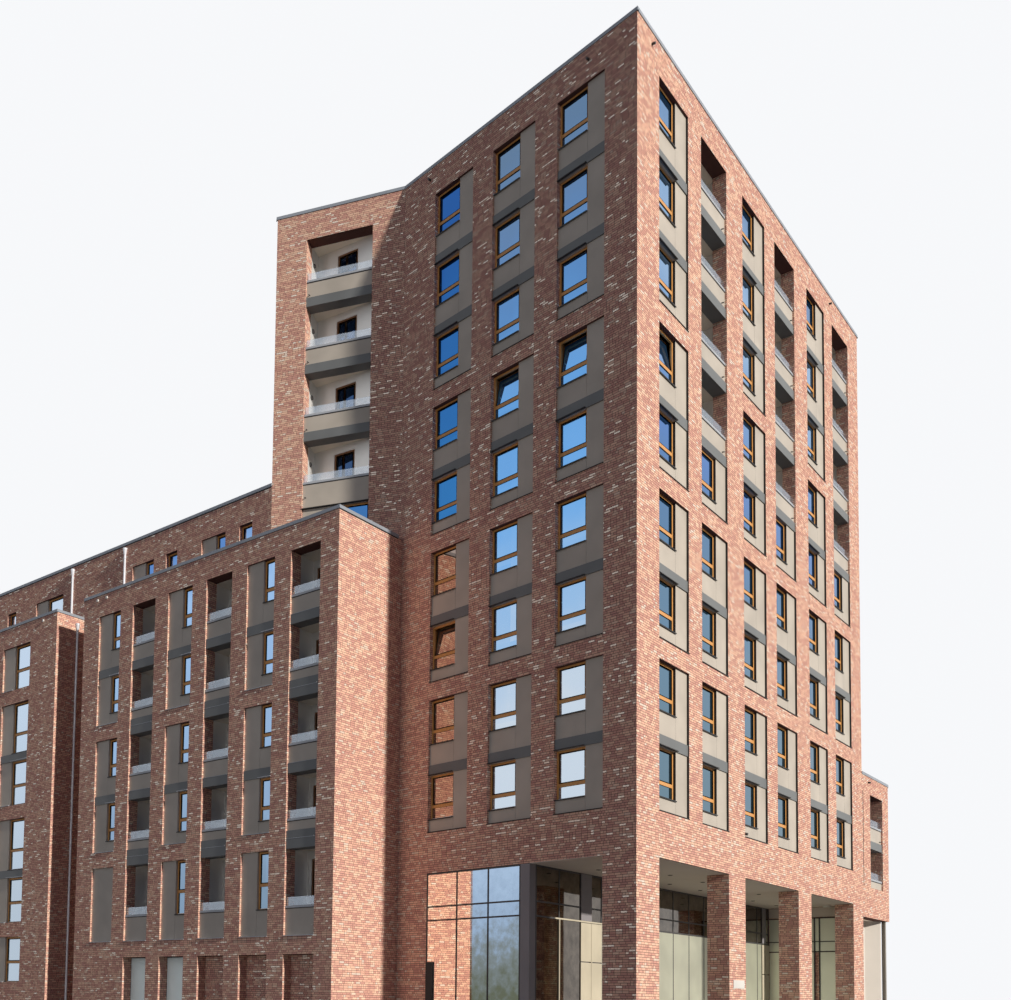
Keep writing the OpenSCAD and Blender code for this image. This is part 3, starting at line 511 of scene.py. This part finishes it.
def solids(name):
    """The corners of each separate solid of a CAD node."""
    shape = bmesh.new()
    shape.from_mesh(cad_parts[name].data)
    bmesh.ops.remove_doubles(shape, verts=shape.verts, dist=0.0001)
    shape.verts.index_update()
    seen, found = set(), []
    for start in shape.verts:
        if start.index in seen:
            continue
        seen.add(start.index)
        group = [start]
        for vert in group:
            for edge in vert.link_edges:
                other = edge.other_vert(vert)
                if other.index not in seen:
                    seen.add(other.index)
                    group.append(other)
        found.append([vert.co.copy() for vert in group])
    shape.free()
    return found


def stand(origin, along):
    """A place whose x runs along a wall, y goes into it and z is up."""
    inward = Vector((-along.y, along.x, 0.0))
    return Matrix(((along.x, inward.x, 0.0, origin.x), (along.y, inward.y, 0.0, origin.y),
                   (0.0, 0.0, 1.0, origin.z), (0.0, 0.0, 0.0, 1.0)))


def plates(name, middle):
    """Each upright plate of a node: the place of its outer lower start, its width and height."""
    found = []
    for corners in solids(name):
        low = min(c.z for c in corners)
        high = max(c.z for c in corners)
        foot = [c for c in corners if c.z < low + 0.001]
        _, far, _ = sorted(foot[1:], key=lambda c: (c - foot[0]).length)
        centre = sum(foot, Vector()) / len(foot)
        along = (far - foot[0]).normalized()
        inward = Vector((-along.y, along.x, 0.0))
        if inward.dot(middle - centre) < 0:
            along, inward = -along, -inward
        front = min(c.dot(inward) for c in foot)
        run = [c.dot(along) for c in foot if c.dot(inward) < front + 0.002]
        origin = along * min(run) + inward * front + Vector((0.0, 0.0, low))
        found.append((stand(origin, along), max(run) - min(run), high - low))
    return found


def on_street(place):
    """Whether a place stands on a wall along the tower's street."""
    return place.col[0].y > 0.9


def on_wing(place):
    """Whether a place stands on the wing's front."""
    return place.col[0].x > 0.98 and place.translation.y < CORNER.y - 1.0


def outward(place):
    """The direction out of the wall on which a place stands."""
    return -place.col[1].to_3d()


class Piece:
    """One named piece of the building, built up from blocks, rings, rods and sheets."""

    def __init__(self, name, finish, slot, *stands_for):
        self.name, self.finish, self.slot, self.stands_for = name, finish, slot, stands_for
        self.shape = bmesh.new()

    def block(self, place, low, high):
        """A box between two corners in the place's own directions."""
        low, high = Vector(low), Vector(high)
        size = Matrix.Diagonal((*(high - low), 1.0))
        bmesh.ops.create_cube(self.shape, size=1.0,
                              matrix=place @ Matrix.Translation((low + high) / 2) @ size)

    def grow(self, faces, vector):
        """Make flat faces thick by drawing them along a vector."""
        grown = bmesh.ops.extrude_face_region(self.shape, geom=faces)["geom"]
        bmesh.ops.translate(self.shape, vec=vector,
                            verts=[g for g in grown if isinstance(g, bmesh.types.BMVert)])

    def ring(self, place, low, high, width):
        """A frame of one border width: a face that is inset, opened and made thick."""
        corners = [(low[0], low[2]), (high[0], low[2]), (high[0], high[2]), (low[0], high[2])]
        face = self.shape.faces.new(
            [self.shape.verts.new(place @ Vector((x, low[1], z))) for x, z in corners])
        rim = bmesh.ops.inset_region(self.shape, faces=[face], thickness=width,
                                     use_boundary=True, use_even_offset=True)["faces"]
        bmesh.ops.delete(self.shape, geom=[face], context="FACES_ONLY")
        self.grow(rim, place.to_3x3() @ Vector((0.0, high[1] - low[1], 0.0)))

    def rod(self, start, end, radius, end_radius, sides):
        """A round rod between two points, which may widen or narrow."""
        start, end = Vector(start), Vector(end)
        turn = (end - start).to_track_quat("Z", "Y").to_matrix().to_4x4()
        bmesh.ops.create_cone(
            self.shape, cap_ends=True, segments=sides, radius1=radius, radius2=end_radius,
            depth=(end - start).length, matrix=Matrix.Translation((start + end) / 2) @ turn)

    def sheet(self, outline, thick):
        """A flat sheet on a ring of corners."""
        face = self.shape.faces.new([self.shape.verts.new(corner) for corner in outline])
        self.grow([face], UP * thick)

    def done(self):
        """Turn the shape into an object that rides the building."""
        bmesh.ops.recalc_face_normals(self.shape, faces=self.shape.faces)
        mesh = bpy.data.meshes.new(self.name)
        self.shape.to_mesh(mesh)
        self.shape.free()
        mesh.materials.append(self.finish)
        made = bpy.data.objects.new(self.name, mesh)
        bpy.context.collection.objects.link(made)
        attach(made, "root")
        if self.stands_for:
            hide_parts(*self.stands_for)


STREET = stand(CORNER, STREET_ALONG)
SQUARE = stand(CORNER, SQUARE_ALONG)


# Windows

sashes = Piece("window_sashes", TIMBER, "timber")
seals_and_sill_shade = Piece("window_seals_and_sill_shade", GASKET, "dark_metal")
beads = Piece("glazing_beads", PIPE, "dark_metal")
street_panes = Piece("street_panes", STREET_PANE, "window_glass", "tower_window_glass")
deep_panes = Piece("inner_panes", DEEP_PANE, "window_glass")
square_panes = Piece("square_panes", SQUARE_PANE, "window_glass")
wing_panes = Piece("wing_panes", WING_PANE, "window_glass", "wing_window_glass")
end_panes = Piece("end_block_panes", END_PANE, "window_glass")
painted_wing_reflection_panes = Piece("corner_panes", PAINTED_WING_REFLECTION_PANE, "window_glass")
linings = Piece("sash_linings", TIMBER, "timber")
leaves = Piece("loggia_sashes", SHADED_TIMBER, "timber")

# Depths are measured into the wall from the pane's own CAD sheet, so that minus is outwards
SASH_WIDE = 0.04
SASH_BACK = 0.008
GASKET_WIDE = 0.018
GASKET_DEEP = 0.016
PANE_FRONT = -0.040
PANE_THICK = 0.024
BEAD_FRONT = -0.064
BEAD_BACK = -0.057
BEAD_HIGH = 0.016
TILT = math.radians(9)
LINING_WIDE = 0.03
LINING_DEEP = 0.10
LINING_PAST = 0.01
# A black strip at each window's sill, which paints the shadow there
SILL_FRONT = -0.215
SILL_BACK = -0.211
SILL_FOOT = -0.045
SILL_HEAD = -0.003

# The square's front: where its inner columns begin, the storeys whose sashes stand tilted
# there and further out, and the storey from which the inner panes turn from a painted
# reflection of the wing to blue; on the street front only the windows before the first
# column's end stand tilted
INNER_COLUMNS = -7.5
INNER_TILT = 2
OUTER_TILT = 5
WING_REFLECTION_BELOW = 4
FIRST_COLUMN = 4.0

# The loggia window's two leaves: where they meet, their border and how far they stand out
LEAVES_MEET = 0.42
LEAF_WIDE = 0.07
LEAF_OUT = 0.012


def storey(place):
    """The storey of a window whose sill is at the place's foot."""
    return round((place.translation.z + WINDOW_RISE - FIRST_HEAD) / STOREY)


def glazed(place, low, high, panes):
    """A dark gasket and a pane in one opening; low and high are (x, z)."""
    seals_and_sill_shade.ring(place, (low[0], PANE_FRONT - GASKET_DEEP, low[1]),
                 (high[0], PANE_FRONT, high[1]), GASKET_WIDE)
    panes.block(place, (low[0], PANE_FRONT, low[1]),
                (high[0], PANE_FRONT + PANE_THICK, high[1]))


def window(place, width, height, panes, tilted):
    """A window's fixed light below and its sash above, which may stand tilted inwards."""
    light = TALL_LIGHT if height > TALL_WINDOW else LIGHT
    left, right = FRAME_WIDE, width - FRAME_WIDE
    glazed(place, (left, FOOT_RAIL), (right, light), panes)
    beads.block(place, (left, BEAD_FRONT, FOOT_RAIL), (right, BEAD_BACK, FOOT_RAIL + BEAD_HIGH))
    # A black strip at the sill: painted shadow
    seals_and_sill_shade.block(place, (0.0, SILL_FRONT, SILL_FOOT), (width, SILL_BACK, SILL_HEAD))
    low, high = light + TRANSOM, height - FRAME_WIDE
    if tilted:
        lean = (Matrix.Translation((0.0, PANE_FRONT, low)) @ Matrix.Rotation(-TILT, 4, "X")
                @ Matrix.Translation((0.0, -PANE_FRONT, -low)))
        linings.ring(place, (left - LINING_PAST, 0.0, low - LINING_PAST),
                     (right + LINING_PAST, LINING_DEEP, high + LINING_PAST), LINING_WIDE)
        place = place @ lean
    sashes.ring(place, (left, -FRAME_DEEP + SASH_BACK, low),
                (right, PANE_FRONT + PANE_THICK, high), SASH_WIDE)
    glazed(place, (left + SASH_WIDE, low + SASH_WIDE),
           (right - SASH_WIDE, high - SASH_WIDE), panes)


for place, width, height in plates("tower_window_glass", TOWER_MIDDLE):
    spot = place.translation - CORNER
    level = storey(place)
    on_square = place.col[0].to_3d().dot(SQUARE_ALONG) > 0.999 and spot.y < 3.0
    inner = on_square and spot.dot(SQUARE_ALONG) < INNER_COLUMNS
    tilted = (on_square and level == (INNER_TILT if inner else OUTER_TILT)
              or on_street(place) and level == OUTER_TILT and spot.y < FIRST_COLUMN)
    if inner:
        panes = painted_wing_reflection_panes if level < WING_REFLECTION_BELOW else deep_panes
    else:
        panes = square_panes if on_square else street_panes
    window(place, width, height, panes, tilted)
for place, width, height in plates("wing_window_glass", WING_MIDDLE):
    beyond = place.translation.x < CORNER.x + RECESS
    window(place, width, height, end_panes if beyond else wing_panes, False)

doors = Piece("loggia_panes", LOGGIA_PANE, "window_glass", "loggia_window_glass")
for place, width, height in plates("loggia_window_glass", TOWER_MIDDLE):
    middle = width * LEAVES_MEET
    foot, head = FRAME_WIDE, height - FRAME_WIDE
    for low, high in ((FRAME_WIDE, middle), (middle, width - FRAME_WIDE)):
        leaves.ring(place, (low, -FRAME_DEEP - LEAF_OUT, foot),
                    (high, PANE_FRONT + PANE_THICK, head), LEAF_WIDE)
        glazed(place, (low + LEAF_WIDE, foot + LEAF_WIDE),
               (high - LEAF_WIDE, head - LEAF_WIDE), doors)
for piece in (sashes, seals_and_sill_shade, beads, street_panes, deep_panes, square_panes, wing_panes,
              end_panes, painted_wing_reflection_panes, doors, linings, leaves):
    piece.done()


# Thin metal: drips, black strips of painted shade, rail caps, a painted highlight on the street
# coping, and door panes

# The tower's drips are black, a painted shadow beneath them; the wing's are pale grey
drips = Piece("panel_drips", GASKET, "dark_metal")
light_drips = Piece("wing_drips", RAIL, "coping")
caps = Piece("rail_caps", RAIL, "coping")
painted_highlight = Piece("street_coping_painted_highlight", PIPE, "coping")
painted_strips = Piece("shadow_painted_strips", GASKET, "dark_metal")

# How far a strip stays clear of the solid it lies on
CLEAR = 0.001

# The drips under high panels and parapets, and the one under a low parapet
DRIP_PAST = 0.004
DRIP_OUT = 0.032
DRIP_HIGH = 0.026
LOW_DRIP_FRONT = -0.052
LOW_DRIP_BACK = -0.0461
LOW_DRIP_FOOT = -0.003
LOW_DRIP_HEAD = 0.009

# The upright strips of painted shade beside a panel, then the painted shadow under a rail and the
# dark joint with its painted shadow under a coping
STRIP_START = 0.0035
STRIP_END = 0.0070
STRIP_DEEP = 0.15
STRIP_BEHIND = 0.003
RAIL_STRIP = 0.034
RAIL_STRIP_OUT = 0.012
COPING_GAP = 0.044
COPING_GAP_HALF = 0.004

# The cap on a rail and the painted highlight along the street coping's edge
CAP_OUT = 0.024
CAP_BACK = 0.084
CAP_FOOT = 0.004
CAP_HEAD = 0.088
HIGHLIGHT_OUT = 0.003
HIGHLIGHT_FOOT = 0.006
HIGHLIGHT_HEAD = 0.004

# Street panels above the first height have painted-shade strips beside them, and parapets above
# the second have drips under them
TALL_PANEL = 1.5
TALL_PARAPET = 0.8

# The panes of the ground doors, from the edges of their glass, and the door's hinge side
DOOR_EDGE = 0.03
DOOR_HINGE = 0.11
DOOR_FRONT = 0.022
DOOR_BACK = 0.006


def about(x, y, z):
    """A place to the nearest tenth of a metre, so that places can be compared."""
    return round(x, 1), round(y, 1), round(z, 1)


def drip(strip, place, width):
    """A drip strip at the foot of a panel."""
    strip.block(place, (-DRIP_PAST, -PANEL_BACK - DRIP_OUT, CLEAR),
                (width + DRIP_PAST, -CLEAR, DRIP_HIGH))


for node, middle in (("tower_panels", TOWER_MIDDLE), ("wing_panels", WING_MIDDLE)):
    found = plates(node, middle)
    tops = {about(p.translation.x, p.translation.y, p.translation.z + h) for p, _, h in found}
    for place, width, height in found:
        if about(*place.translation) not in tops:
            drip(drips if node == "tower_panels" else light_drips, place, width)
        if on_street(place) and height > TALL_PANEL:
            # Black strips on the jamb and on the panel's edge: painted shade
            painted_strips.block(place, (width + STRIP_START, -PANEL_BACK + STRIP_BEHIND, 0.0),
                       (width + STRIP_END, 0.0, height))
            painted_strips.block(place, (-STRIP_END, 0.0, 0.0), (-STRIP_START, STRIP_DEEP, height))
for place, width, height in plates("loggia_parapets", TOWER_MIDDLE):
    # A black strip under the rail's cap: painted shadow
    painted_strips.block(place, (0.0, -RAIL_STRIP_OUT, height - RAIL_STRIP), (width, CLEAR, height - CLEAR))
    caps.block(place, (CLEAR, -CAP_OUT, height + CAP_FOOT),
               (width - CLEAR, CAP_BACK, height + CAP_HEAD))
    if height > TALL_PARAPET:
        drip(light_drips if on_wing(place) else drips, place, width)
    elif on_wing(place):
        light_drips.block(place, (-CLEAR, LOW_DRIP_FRONT, LOW_DRIP_FOOT),
                          (width + CLEAR, LOW_DRIP_BACK, LOW_DRIP_HEAD))
for node, middle in (("tower_coping", TOWER_MIDDLE), ("wing_coping", WING_MIDDLE),
                     ("setback_coping", WING_MIDDLE), ("low_block_coping", TOWER_MIDDLE)):
    for place, width, height in plates(node, middle):
        # A dark strip under the coping: the joint there and its painted shadow
        painted_strips.block(place, (COPING_OVER, COPING_OVER - COPING_GAP_HALF, -COPING_GAP),
                   (width - COPING_OVER, COPING_OVER + COPING_GAP_HALF, 0.0))
        # A white strip along the street coping: a painted highlight of its sunlit edge
        if node == "tower_coping" and on_street(place):
            painted_highlight.block(place, (0.0, -HIGHLIGHT_OUT, HIGHLIGHT_FOOT), (width, 0.0, height - HIGHLIGHT_HEAD))
door_panes = Piece("ground_door_panes", PALE_PANE, "window_glass")
for place, width, height in plates("ground_glass", WING_MIDDLE):
    door_panes.block(place, (DOOR_EDGE, -FRAME_DEEP - DOOR_FRONT, DOOR_EDGE),
                     (width - DOOR_HINGE, -FRAME_DEEP - DOOR_BACK, height - DOOR_EDGE))
for piece in (drips, light_drips, painted_strips, caps, painted_highlight, door_panes):
    piece.done()


# The hall's glass along the arcade, and the screen at the arcade's end

HALL = stand(CORNER + Vector((-HALL_BACK, 0.0, 0.0)), STREET_ALONG)
END = stand(CORNER + Vector((0.0, STREET_END - WALL, 0.0)), WING_ALONG)
HALL_TOP = ARCADE - 0.02
HALL_FOOT = 0.02
PANE_FOOT = 0.01
PANE_NEAR = 0.014
PANE_FAR = 0.026
PANEL_HEAD = 4.58
BAR_HEAD = 4.60
BAR_OUT = 0.035
SHEET_BACK = -0.002
SCREEN_POST = 0.055
SCREEN_RAIL = 0.045

bars = Piece("hall_bars", CREAM, "metal_panel")
boards = Piece("hall_panels", CREAM, "metal_panel")
dark_columns = Piece("hall_columns", POST, "dark_metal")
hall_panes = Piece("hall_panes", HALL_PANE, "window_glass", "hall_glass")
for place, start, end in ((HALL, 1.03, 22.98), (SQUARE, -9.50, -4.83)):
    hall_panes.block(place, (start, PANE_NEAR, PANE_FOOT), (end, PANE_FAR, HALL_TOP))
frosted = Piece("frosted_panes", FROSTED, "window_glass")
frosted.block(HALL, (5.80, 0.006, 0.30), (22.0, 0.012, 4.59))
for start, end in ((4.16, 5.74), (22.05, 22.97)):
    half = (start + end) / 2
    for low, high in ((start, half - 0.03), (half + 0.03, end)):
        for foot, head in ((0.32, 3.10), (3.14, PANEL_HEAD)):
            boards.block(HALL, (low, -0.022, foot), (high, SHEET_BACK, head))
    dark_columns.block(HALL, (start, -0.03, 4.66), (half, SHEET_BACK, HALL_TOP))
    bars.block(HALL, (half - 0.028, -BAR_OUT, HALL_FOOT), (half + 0.028, SHEET_BACK, PANEL_HEAD))
bars.block(HALL, (2.58, -BAR_OUT, HALL_FOOT), (2.63, SHEET_BACK, BAR_HEAD))
bars.block(HALL, (2.3, -BAR_OUT, BAR_HEAD), (5.74, SHEET_BACK, 4.655))
header = Piece("arcade_end_header", BOARD, "metal_panel")
header.block(END, (-HALL_BACK + 0.02, -0.03, 5.95), (-0.87, SHEET_BACK, HALL_TOP))
for low, high in ((-4.33, -2.16), (-1.84, -0.92)):
    frosted.block(END, (low, -0.024, 0.32), (high, SHEET_BACK, 4.22))
screen = Piece("arcade_end_screen", STEEL, "dark_metal")
for x in (-2.14, -1.90, -0.93):
    screen.block(END, (x, -0.06, HALL_FOOT), (x + SCREEN_POST, -0.003, 5.93))
for z in (0.25, 4.23, 4.72, 5.88):
    screen.block(END, (-4.34, -0.055, z), (-0.88, -0.004, z + SCREEN_RAIL))
frosted.block(END, (-4.34, -0.012, 4.28), (-0.89, -0.001, 5.87))
for piece in (hall_panes, frosted, bars, boards, dark_columns, header, screen):
    piece.done()


# Small fittings

# Two rows of lights in the arcade's soffit, and an oval one at its end
LIGHT_ROWS = (-1.93, -3.33)
LIGHTS = 7
LIGHT_START = 3.62
LIGHT_STEP = 2.93
lights = Piece("soffit_lights", GASKET, "dark_metal")
lenses = Piece("light_lenses", LAMP, "render")
for x in LIGHT_ROWS:
    for k in range(LIGHTS):
        spot = CORNER + Vector((x, LIGHT_START + LIGHT_STEP * k, ARCADE))
        lights.rod(spot - UP * 0.014, spot + UP * 0.004, 0.085, 0.095, 16)
        lights.rod(spot - UP * 0.020, spot - UP * 0.010, 0.050, 0.060, 12)
oval = CORNER + Vector((-1.36, 22.55, ARCADE))
lenses.rod(oval - UP * 0.06, oval, 0.18, 0.21, 20)

# Spouts under the copings, a dome on the street front, a hole and lights on the wing
SPOUT_OUT = 0.13
SPOUT_FALL = 0.02
SPOUT = 0.045
spouts = Piece("roof_spouts", STEEL, "dark_metal")
for y, z in ((1.08, 34.39), (19.38, 34.45), (24.55, 12.62)):
    spot = CORNER + Vector((0.0, y, z))
    spouts.rod(spot, spot + Vector((SPOUT_OUT, 0.0, -SPOUT_FALL)), SPOUT, SPOUT, 12)
for x, z in ((-2.0, 34.39), (-9.8, 34.39)):
    spot = SQUARE @ Vector((x, 0.0, z))
    spouts.rod(spot, spot + outward(SQUARE) * SPOUT_OUT - UP * SPOUT_FALL, SPOUT, SPOUT, 12)
dome = CORNER + Vector((0.0, 8.99, 8.15))
spouts.rod(dome + Vector((-0.06, 0, 0)), dome + Vector((0.09, 0.0, -0.03)), 0.06, 0.05, 14)
hole = CORNER + Vector((-29.33, -0.70, 19.59))
spouts.rod(hole, hole + Vector((0.04, 0.0, 0.0)), 0.05, 0.05, 12)
for x in (-30.5, -26.08, -25.39):
    spot = CORNER + Vector((x, WING_FRONT, 19.82))
    lenses.rod(spot, spot + Vector((0.0, -0.05, 0.0)), 0.075, 0.06, 14)

# A spout or a small light at each loggia parapet, and a wall light in the return's loggias
RETURN = stand(CORNER + Vector((-16.54, -0.49, 0.0)), RETURN_ALONG)
for place, width, height in plates("loggia_parapets", TOWER_MIDDLE):
    foot = height - PARAPET
    if on_wing(place):
        spot = place @ Vector((width - 0.10, -0.050, foot + 0.01))
        lenses.rod(spot, spot + outward(place) * 0.02, 0.025, 0.025, 10)
        continue
    side = width - 0.29 if on_street(place) else 0.14
    spot = place @ Vector((side, 0.0, foot + 0.12))
    spouts.rod(spot, spot + outward(place) * 0.10 - UP * SPOUT_FALL, 0.024, 0.020, 10)
    if abs(place.col[0].x - RETURN_ALONG.x) < 0.02:
        spot = RETURN @ Vector((1.382, 0.80, 0.0))
        spot.z = place.translation.z + foot + 1.90
        spouts.rod(spot, spot + RETURN_ALONG * 0.06, 0.10, 0.085, 18)

# Brackets and hoppers of the downpipes, and the roof rod
BRACKET_STEP = 2.0
BRACKET_END = 0.4
BRACKET_HIGH = 0.045
fittings = Piece("pipe_fittings", PIPE, "pipe")
for corners in solids("downpipes"):
    low, high = min(c.z for c in corners), max(c.z for c in corners)
    axis = Vector((sum(c.x for c in corners), sum(c.y for c in corners), 0)) / len(corners)
    top = axis + UP * high
    steps = int((high - low) / BRACKET_STEP)
    for k in range(steps + 1):
        z = low + BRACKET_END + k * (high - low - 2 * BRACKET_END) / max(1, steps)
        fittings.rod(axis + UP * z, axis + UP * (z + BRACKET_HIGH), 0.064, 0.064, 16)
    fittings.rod(top - UP * 0.22, top, 0.06, 0.10, 12)
    fittings.rod(top, top + UP * 0.10, 0.105, 0.105, 12)
rod = CORNER + Vector((-14.92, 0.55, 34.98))
fittings.rod(rod, rod + UP * 0.35, 0.018, 0.012, 8)
fittings.rod(rod, rod + UP * 0.06, 0.05, 0.04, 12)

# The movement joint beside the low block, a dark strip in the hall, and the pillar's plate
joints = Piece("movement_joint", GASKET, "dark_metal")
joints.block(STREET, (23.68, -0.004, 7.45), (23.76, 0.002, 12.10))
joints.block(SQUARE, (-9.47, -0.05, 0.02), (-9.12, -0.004, 3.06))
plate = Piece("pillar_plate", LAMP, "render")
plate.block(STREET, (7.74, -0.02, 2.22), (8.78, -0.001, 2.53))
for piece in (lights, lenses, spouts, fittings, joints, plate):
    piece.done()

# Felt on the top floors, and on the wing's floor outside its set-back storey
FELT = 0.012
roofs = Piece("roof_felt", ROOF, "dark_metal")
for node in ("tower_floors", "wing_floors", "low_block_floors"):
    found = solids(node)
    top = max(c.z for corners in found for c in corners)
    levels = (top, top - STOREY) if node == "wing_floors" else (top,)
    for corners in found:
        high = max(c.z for c in corners)
        if any(abs(high - level) < 0.01 for level in levels):
            outline = [c for c in corners if c.z > high - 0.001]
            centre = sum(outline, Vector()) / len(outline)
            outline.sort(key=lambda c: math.atan2(c.y - centre.y, c.x - centre.x))
            roofs.sheet(outline, FELT)
roofs.done()


# Stage, camera and light

STUDIO_LIGHT = (0.112, 0.121, 0.166)
STUDIO_BACK = (0.93, 0.94, 0.96)
FLOOR_LIGHT = (0.14, 0.14, 0.14)
FLOOR_GREYS = [(0.3, (0.70, 0.70, 0.69)), (0.7, (0.74, 0.74, 0.73))]
FLOOR_SIZE = 400.0


def show(name, data):
    """A new object in the scene."""
    made = bpy.data.objects.new(name, data)
    bpy.context.collection.objects.link(made)
    return made


def sun(name, energy, direction, colour, angle):
    """A sun that shines along a direction; its angle, in degrees, softens the shadows."""
    data = bpy.data.lights.new(name, "SUN")
    data.energy = energy
    data.color = colour
    data.angle = math.radians(angle)
    show(name, data).rotation_euler = Vector(direction).to_track_quat("-Z", "Y").to_euler()


def see_through_light(tree, lit, seen):
    """A colour for light that falls on things, and another for what the eye and gloss see."""
    w = Wires(tree)
    rays = w.node("ShaderNodeLightPath").outputs
    eye = w.math("MAXIMUM", rays["Is Camera Ray"],
                 w.math("MAXIMUM", rays["Is Glossy Ray"], rays["Is Transmission Ray"]))
    return w.mix(eye, lit, seen)


world = bpy.data.worlds.new("studio")
bpy.context.scene.world = world
world.use_nodes = True
back = world.node_tree.nodes["Background"]
world.node_tree.links.new(see_through_light(world.node_tree, STUDIO_LIGHT, STUDIO_BACK),
                          back.inputs["Color"])
back.inputs["Strength"].default_value = 1.0

sun("key", 4.2, (-0.941, 0.054, -0.334), (1.0, 0.93, 0.84), 1.5)
sun("fill", 0.22, (0.04, 0.99, -0.09), (1.0, 0.97, 0.95), 14)

floor_mesh = bpy.data.meshes.new("floor")
shape = bmesh.new()
bmesh.ops.create_grid(shape, x_segments=1, y_segments=1, size=FLOOR_SIZE)
shape.to_mesh(floor_mesh)
shape.free()
floor = show("floor", floor_mesh)
pale, tree, shader = material("pale_floor", 0.9)
floor_mesh.materials.append(pale)
w = Wires(tree)
grey = w.ramp(w.noise(w.place(), 0.05), FLOOR_GREYS)
w.link(see_through_light(tree, FLOOR_LIGHT, grey), shader.inputs["Base Color"])

# The photograph's camera: at eye height, tilted up a little and with a shifted lens
camera_data = bpy.data.cameras.new("camera")
camera = show("camera", camera_data)
bpy.context.scene.camera = camera
camera_data.sensor_width = 36.0
camera_data.lens = 39.36
camera_data.shift_x = 0.1287
camera_data.shift_y = 0.4262
camera_data.clip_end = 500.0
ahead = Vector((-0.6437324, 0.7628340, 0.0607698))
right = Vector((0.7647621, 0.6441271, 0.0154693))
above = right.cross(ahead)
eye = CORNER + Vector((16.28655, -32.16816, 1.65))
camera.matrix_world = Matrix((
    (right.x, above.x, -ahead.x, eye.x),
    (right.y, above.y, -ahead.y, eye.y),
    (right.z, above.z, -ahead.z, eye.z),
    (0, 0, 0, 1)))

bpy.context.scene.view_settings.view_transform = "Standard"
